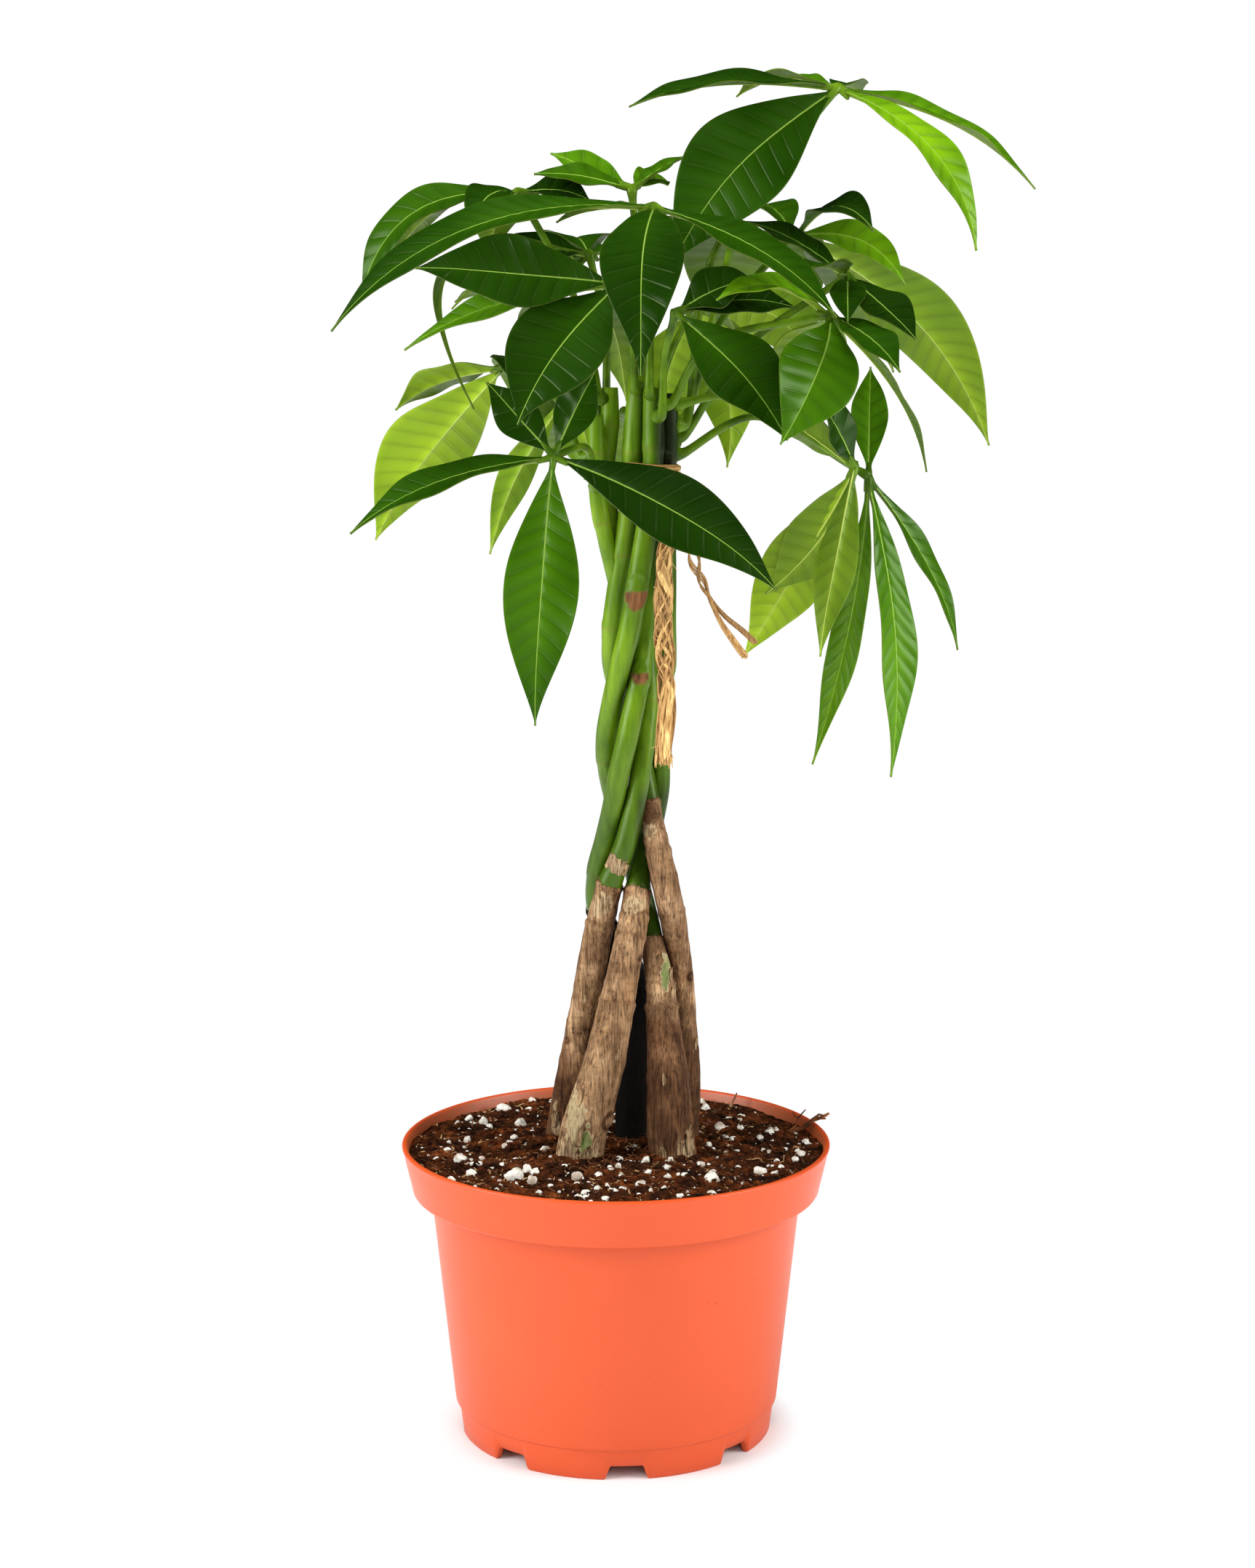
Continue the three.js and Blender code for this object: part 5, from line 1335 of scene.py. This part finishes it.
def build_long_tail():
    """Flat strands loosely plaited, that hang straight and paler at the frayed cut end."""
    random = np.random.default_rng(12)
    line, length, wide, depth, marks = tail_frame(TAIL_LONG)
    half = np.interp(marks, [0, 0.1, 0.3, 0.55, 0.72, 0.85, 1], [1.6, 2.3, 2.6, 3.1, 3.3, 3.0, 3.3])
    straight = smooth_share(marks, 0.60, 0.86)
    parts = []
    for strand in range(26):
        layer = strand % 3
        home = random.uniform(-1, 1)
        cycles, phase = random.uniform(1.8, 3.4), random.uniform(0, 2 * math.pi)
        sway = np.sin(2 * math.pi * cycles * marks + phase) * (0.75 if layer else 0.95)
        dx = half * np.clip(home * (0.35 + 0.55 * straight) + sway * (1 - 0.88 * straight), -1, 1)
        round_front = np.sqrt(np.clip(1.02 - (dx / half) ** 2, 0.02, 1))
        dy = (0.4 + 1.5 * round_front) * (1 - 0.35 * straight) - layer * 0.75
        dy = dy + 0.35 * np.cos(2 * math.pi * cycles * 2 * marks + phase)
        stop = len(line) - int(random.integers(0, 9))
        flat = random.uniform(0.5, 1.15) * (0.75 + 0.25 * np.sin(marks * random.uniform(8, 20) + phase))
        flat = flat * smooth_share(stop - np.arange(len(line)), -1, 7)
        tilt = 0.55 * dx / half + 0.8 * np.sin(2 * math.pi * cycles * marks * 1.5 + phase) * (1 - straight)
        # Strands of the back layers are darker, as painted shade.
        tone = np.clip(random.uniform(-0.1, 1.0) - 0.22 * layer + 0.3 * straight, 0, 1)
        path = line + wide * dx[:, None] + depth * dy[:, None]
        flat = np.maximum(flat, 0.12)
        parts.append(ribbon(path[:stop], flat[:stop], 0.15, tone[:stop], tilt[:stop], wide[:stop]))
    for start, stop, out in ((0.26, 0.44, 1.3), (0.50, 0.66, 1.5), (0.72, 0.93, 0.9)):
        share = np.clip((marks - start) / (stop - start), 0, 1)
        dx = half * 0.75 + out * np.sin(math.pi * share)
        keep = slice(int((start - 0.05) * (TAIL_STEPS - 1)), int((stop + 0.05) * (TAIL_STEPS - 1)))
        path = line + wide * dx[:, None] + depth * 0.4
        parts.append(ribbon(path[keep], 0.5, 0.15, 0.12, 0.5, wide[keep]))
    hairs = ((0.14, -1), (0.34, -1), (0.37, -1), (0.53, -1), (0.56, -1), (0.93, -1), (0.97, 1), (0.24, 1))
    for start, way in hairs:
        at = int(start * (TAIL_STEPS - 1))
        t = np.linspace(0, 1, 24)[:, None]
        reach = random.uniform(2.0, 3.4)
        root = line[at] + wide[at] * way * 1.6 + depth[at] * 1.0
        drop = np.array([0, 0, -1.0]) * random.uniform(-2.5, 3.0) * t ** 2
        parts.append(ribbon(root + wide[at] * way * reach * t + drop, 0.13, 0.10, 0.9))
    for _ in range(26):
        u = random.uniform(-1, 1)
        t = np.linspace(0, 1, 10)[:, None]
        root = line[-10] + wide[-1] * u * 3.0 + depth[-1] * random.uniform(-0.6, 1.4)
        tip = line[-1] + wide[-1] * (u * 3.5 + random.uniform(-0.3, 0.3))
        tip = tip + depth[-1] * random.uniform(-0.6, 1.5)
        tip[2] += random.uniform(-1.4, 1.2)
        thin = np.linspace(0.3, 0.08, 10)
        parts.append(ribbon(root + (tip - root) * t, thin, 0.10, random.uniform(0.6, 1.0)))
    hang_tail("raffia_tail_long", "tie_tail_long", parts)


def build_short_tail():
    """A few dark strands that cross like lattice, then part into two ends."""
    random = np.random.default_rng(8)
    line, length, wide, depth, marks = tail_frame(TAIL_SHORT)
    parted = smooth_share(marks, 0.52, 1.0)
    parts = []
    for strand in range(6):
        left = strand < 3
        sign = -1 if left else 1
        weave = sign * 1.95 * np.cos(2 * math.pi * marks * 2.7 + 0.4 * (strand % 3))
        spread = (strand % 3 - 1) * (0.25 + 0.5 * parted * (1 if left else 0.3))
        away = sign * 3.1 * parted
        dx = weave * (1 - smooth_share(marks, 0.42, 0.62)) + spread + away
        dy = 0.5 * np.sin(2 * math.pi * marks * 3.1 + strand) * (1 - parted) + 0.25 * (strand % 3)
        flat = 0.42 + (0.25 if left else 0.42) * parted
        stop = len(line) - (0 if left else 5) - int(random.integers(0, 6))
        path = line + wide * dx[:, None] + depth * dy[:, None]
        tone = random.uniform(-0.05, 0.18) + (0.25 if left else 0.0) * parted
        tilt = 0.5 * np.sin(marks * 9 + strand)
        parts.append(ribbon(path[:stop], flat[:stop], 0.16, tone[:stop], tilt[:stop], wide[:stop]))
    hang_tail("raffia_tail_short", "tie_tail_short", parts)


build_tie_band()
build_long_tail()
build_short_tail()


# ---------- floor, light and camera ----------
# A seamless white floor under soft studio light, seen from a little above the crown's middle.
# The floor fades to plain white round the pot, so that only its contact shadow is seen.

FLOOR_REACH = 6
FLOOR_SHADOW, FLOOR_WHITE = 0.058, 0.073  # metres from the pot's axis where the fade starts and ends

look = Look("studio_white")
offset = {"Vector": look.place, "Location": (-pot_axis.x, -pot_axis.y, 0)}
centre = look.add("ShaderNodeMapping", offset).outputs["Vector"]
away = look.add("ShaderNodeVectorMath", {0: centre}, operation="LENGTH").outputs["Value"]
seen = look.add("ShaderNodeLightPath").outputs["Is Camera Ray"]
share = look.maths("MULTIPLY", look.span(away, FLOOR_SHADOW, FLOOR_WHITE, kind=SMOOTH), seen)
glow = look.add("ShaderNodeEmission", {"Color": (1, 1, 1, 1), "Strength": 1.0}).outputs[0]
matt = look.tree.nodes["Principled BSDF"].outputs[0]
blend = look.add("ShaderNodeMixShader", {0: share, 1: matt, 2: glow}).outputs[0]
look.fill(look.tree.nodes["Material Output"], {"Surface": blend})
studio = look.finish({"Base Color": (0.96, 0.96, 0.96, 1), "Roughness": 0.95, "Specular IOR Level": 0.0})
floor_mesh = bpy.data.meshes.new("studio_floor")
corners = [(x * FLOOR_REACH, y * FLOOR_REACH, 0) for x, y in ((-1, -1), (1, -1), (1, 1), (-1, 1))]
floor_mesh.from_pydata(corners, [], [(0, 1, 2, 3)])
floor_mesh.materials.append(studio)
floor = bpy.data.objects.new("studio_floor", floor_mesh)
scene.collection.objects.link(floor)

# The sky is white to the viewer, dimmer as a light, and nearly out of what gloss mirrors.
world = bpy.data.worlds.new("studio")
world.use_nodes = True
sky = NodeMaker(world.node_tree)
ray = sky.add("ShaderNodeLightPath").outputs
level = sky.span(ray["Is Camera Ray"], 0.0, 1.0, 0.24, 1.0)
mirrored = sky.span(ray["Is Glossy Ray"], 0.0, 1.0, 1.0, 0.05)
strength = sky.maths("MULTIPLY", level, mirrored)
sky.fill(world.node_tree.nodes["Background"], {"Color": (1, 1, 1, 1), "Strength": strength})
scene.world = world
scene.view_settings.view_transform = "Standard"


def soft_box(name, place, aim, size, power, mirrored=False):
    """A square studio light, which gloss mirrors only when asked."""
    light = bpy.data.lights.new(name, "AREA")
    light.energy = power
    light.size = size
    lamp = bpy.data.objects.new(name, light)
    lamp.location = place
    lamp.rotation_euler = (Vector(aim) - Vector(place)).to_track_quat("-Z", "Y").to_euler()
    lamp.visible_glossy = mirrored
    scene.collection.objects.link(lamp)


soft_box("left_box", (-1.25, -0.55, 0.75), (0, 0, 0.25), 0.9, 21, mirrored=True)
soft_box("right_box", (1.25, -0.45, 0.75), (0, 0, 0.25), 0.8, 17, mirrored=True)
soft_box("front_box", (0.2, -1.6, 1.0), (0, 0, 0.2), 0.9, 8)
soft_box("top_box", (-0.2, 0.1, 1.7), (0, 0, 0.35), 0.8, 20)

camera = bpy.data.cameras.new("camera")
camera.sensor_fit = "HORIZONTAL"
camera.sensor_width = 36
camera.lens = 84.28
viewer = bpy.data.objects.new("camera", camera)
viewer.location = to_metres([(4.46, -1100, 428.4)])[0]
viewer.rotation_euler = (math.pi / 2 - 0.158, 0, 0)
scene.collection.objects.link(viewer)
scene.camera = viewer
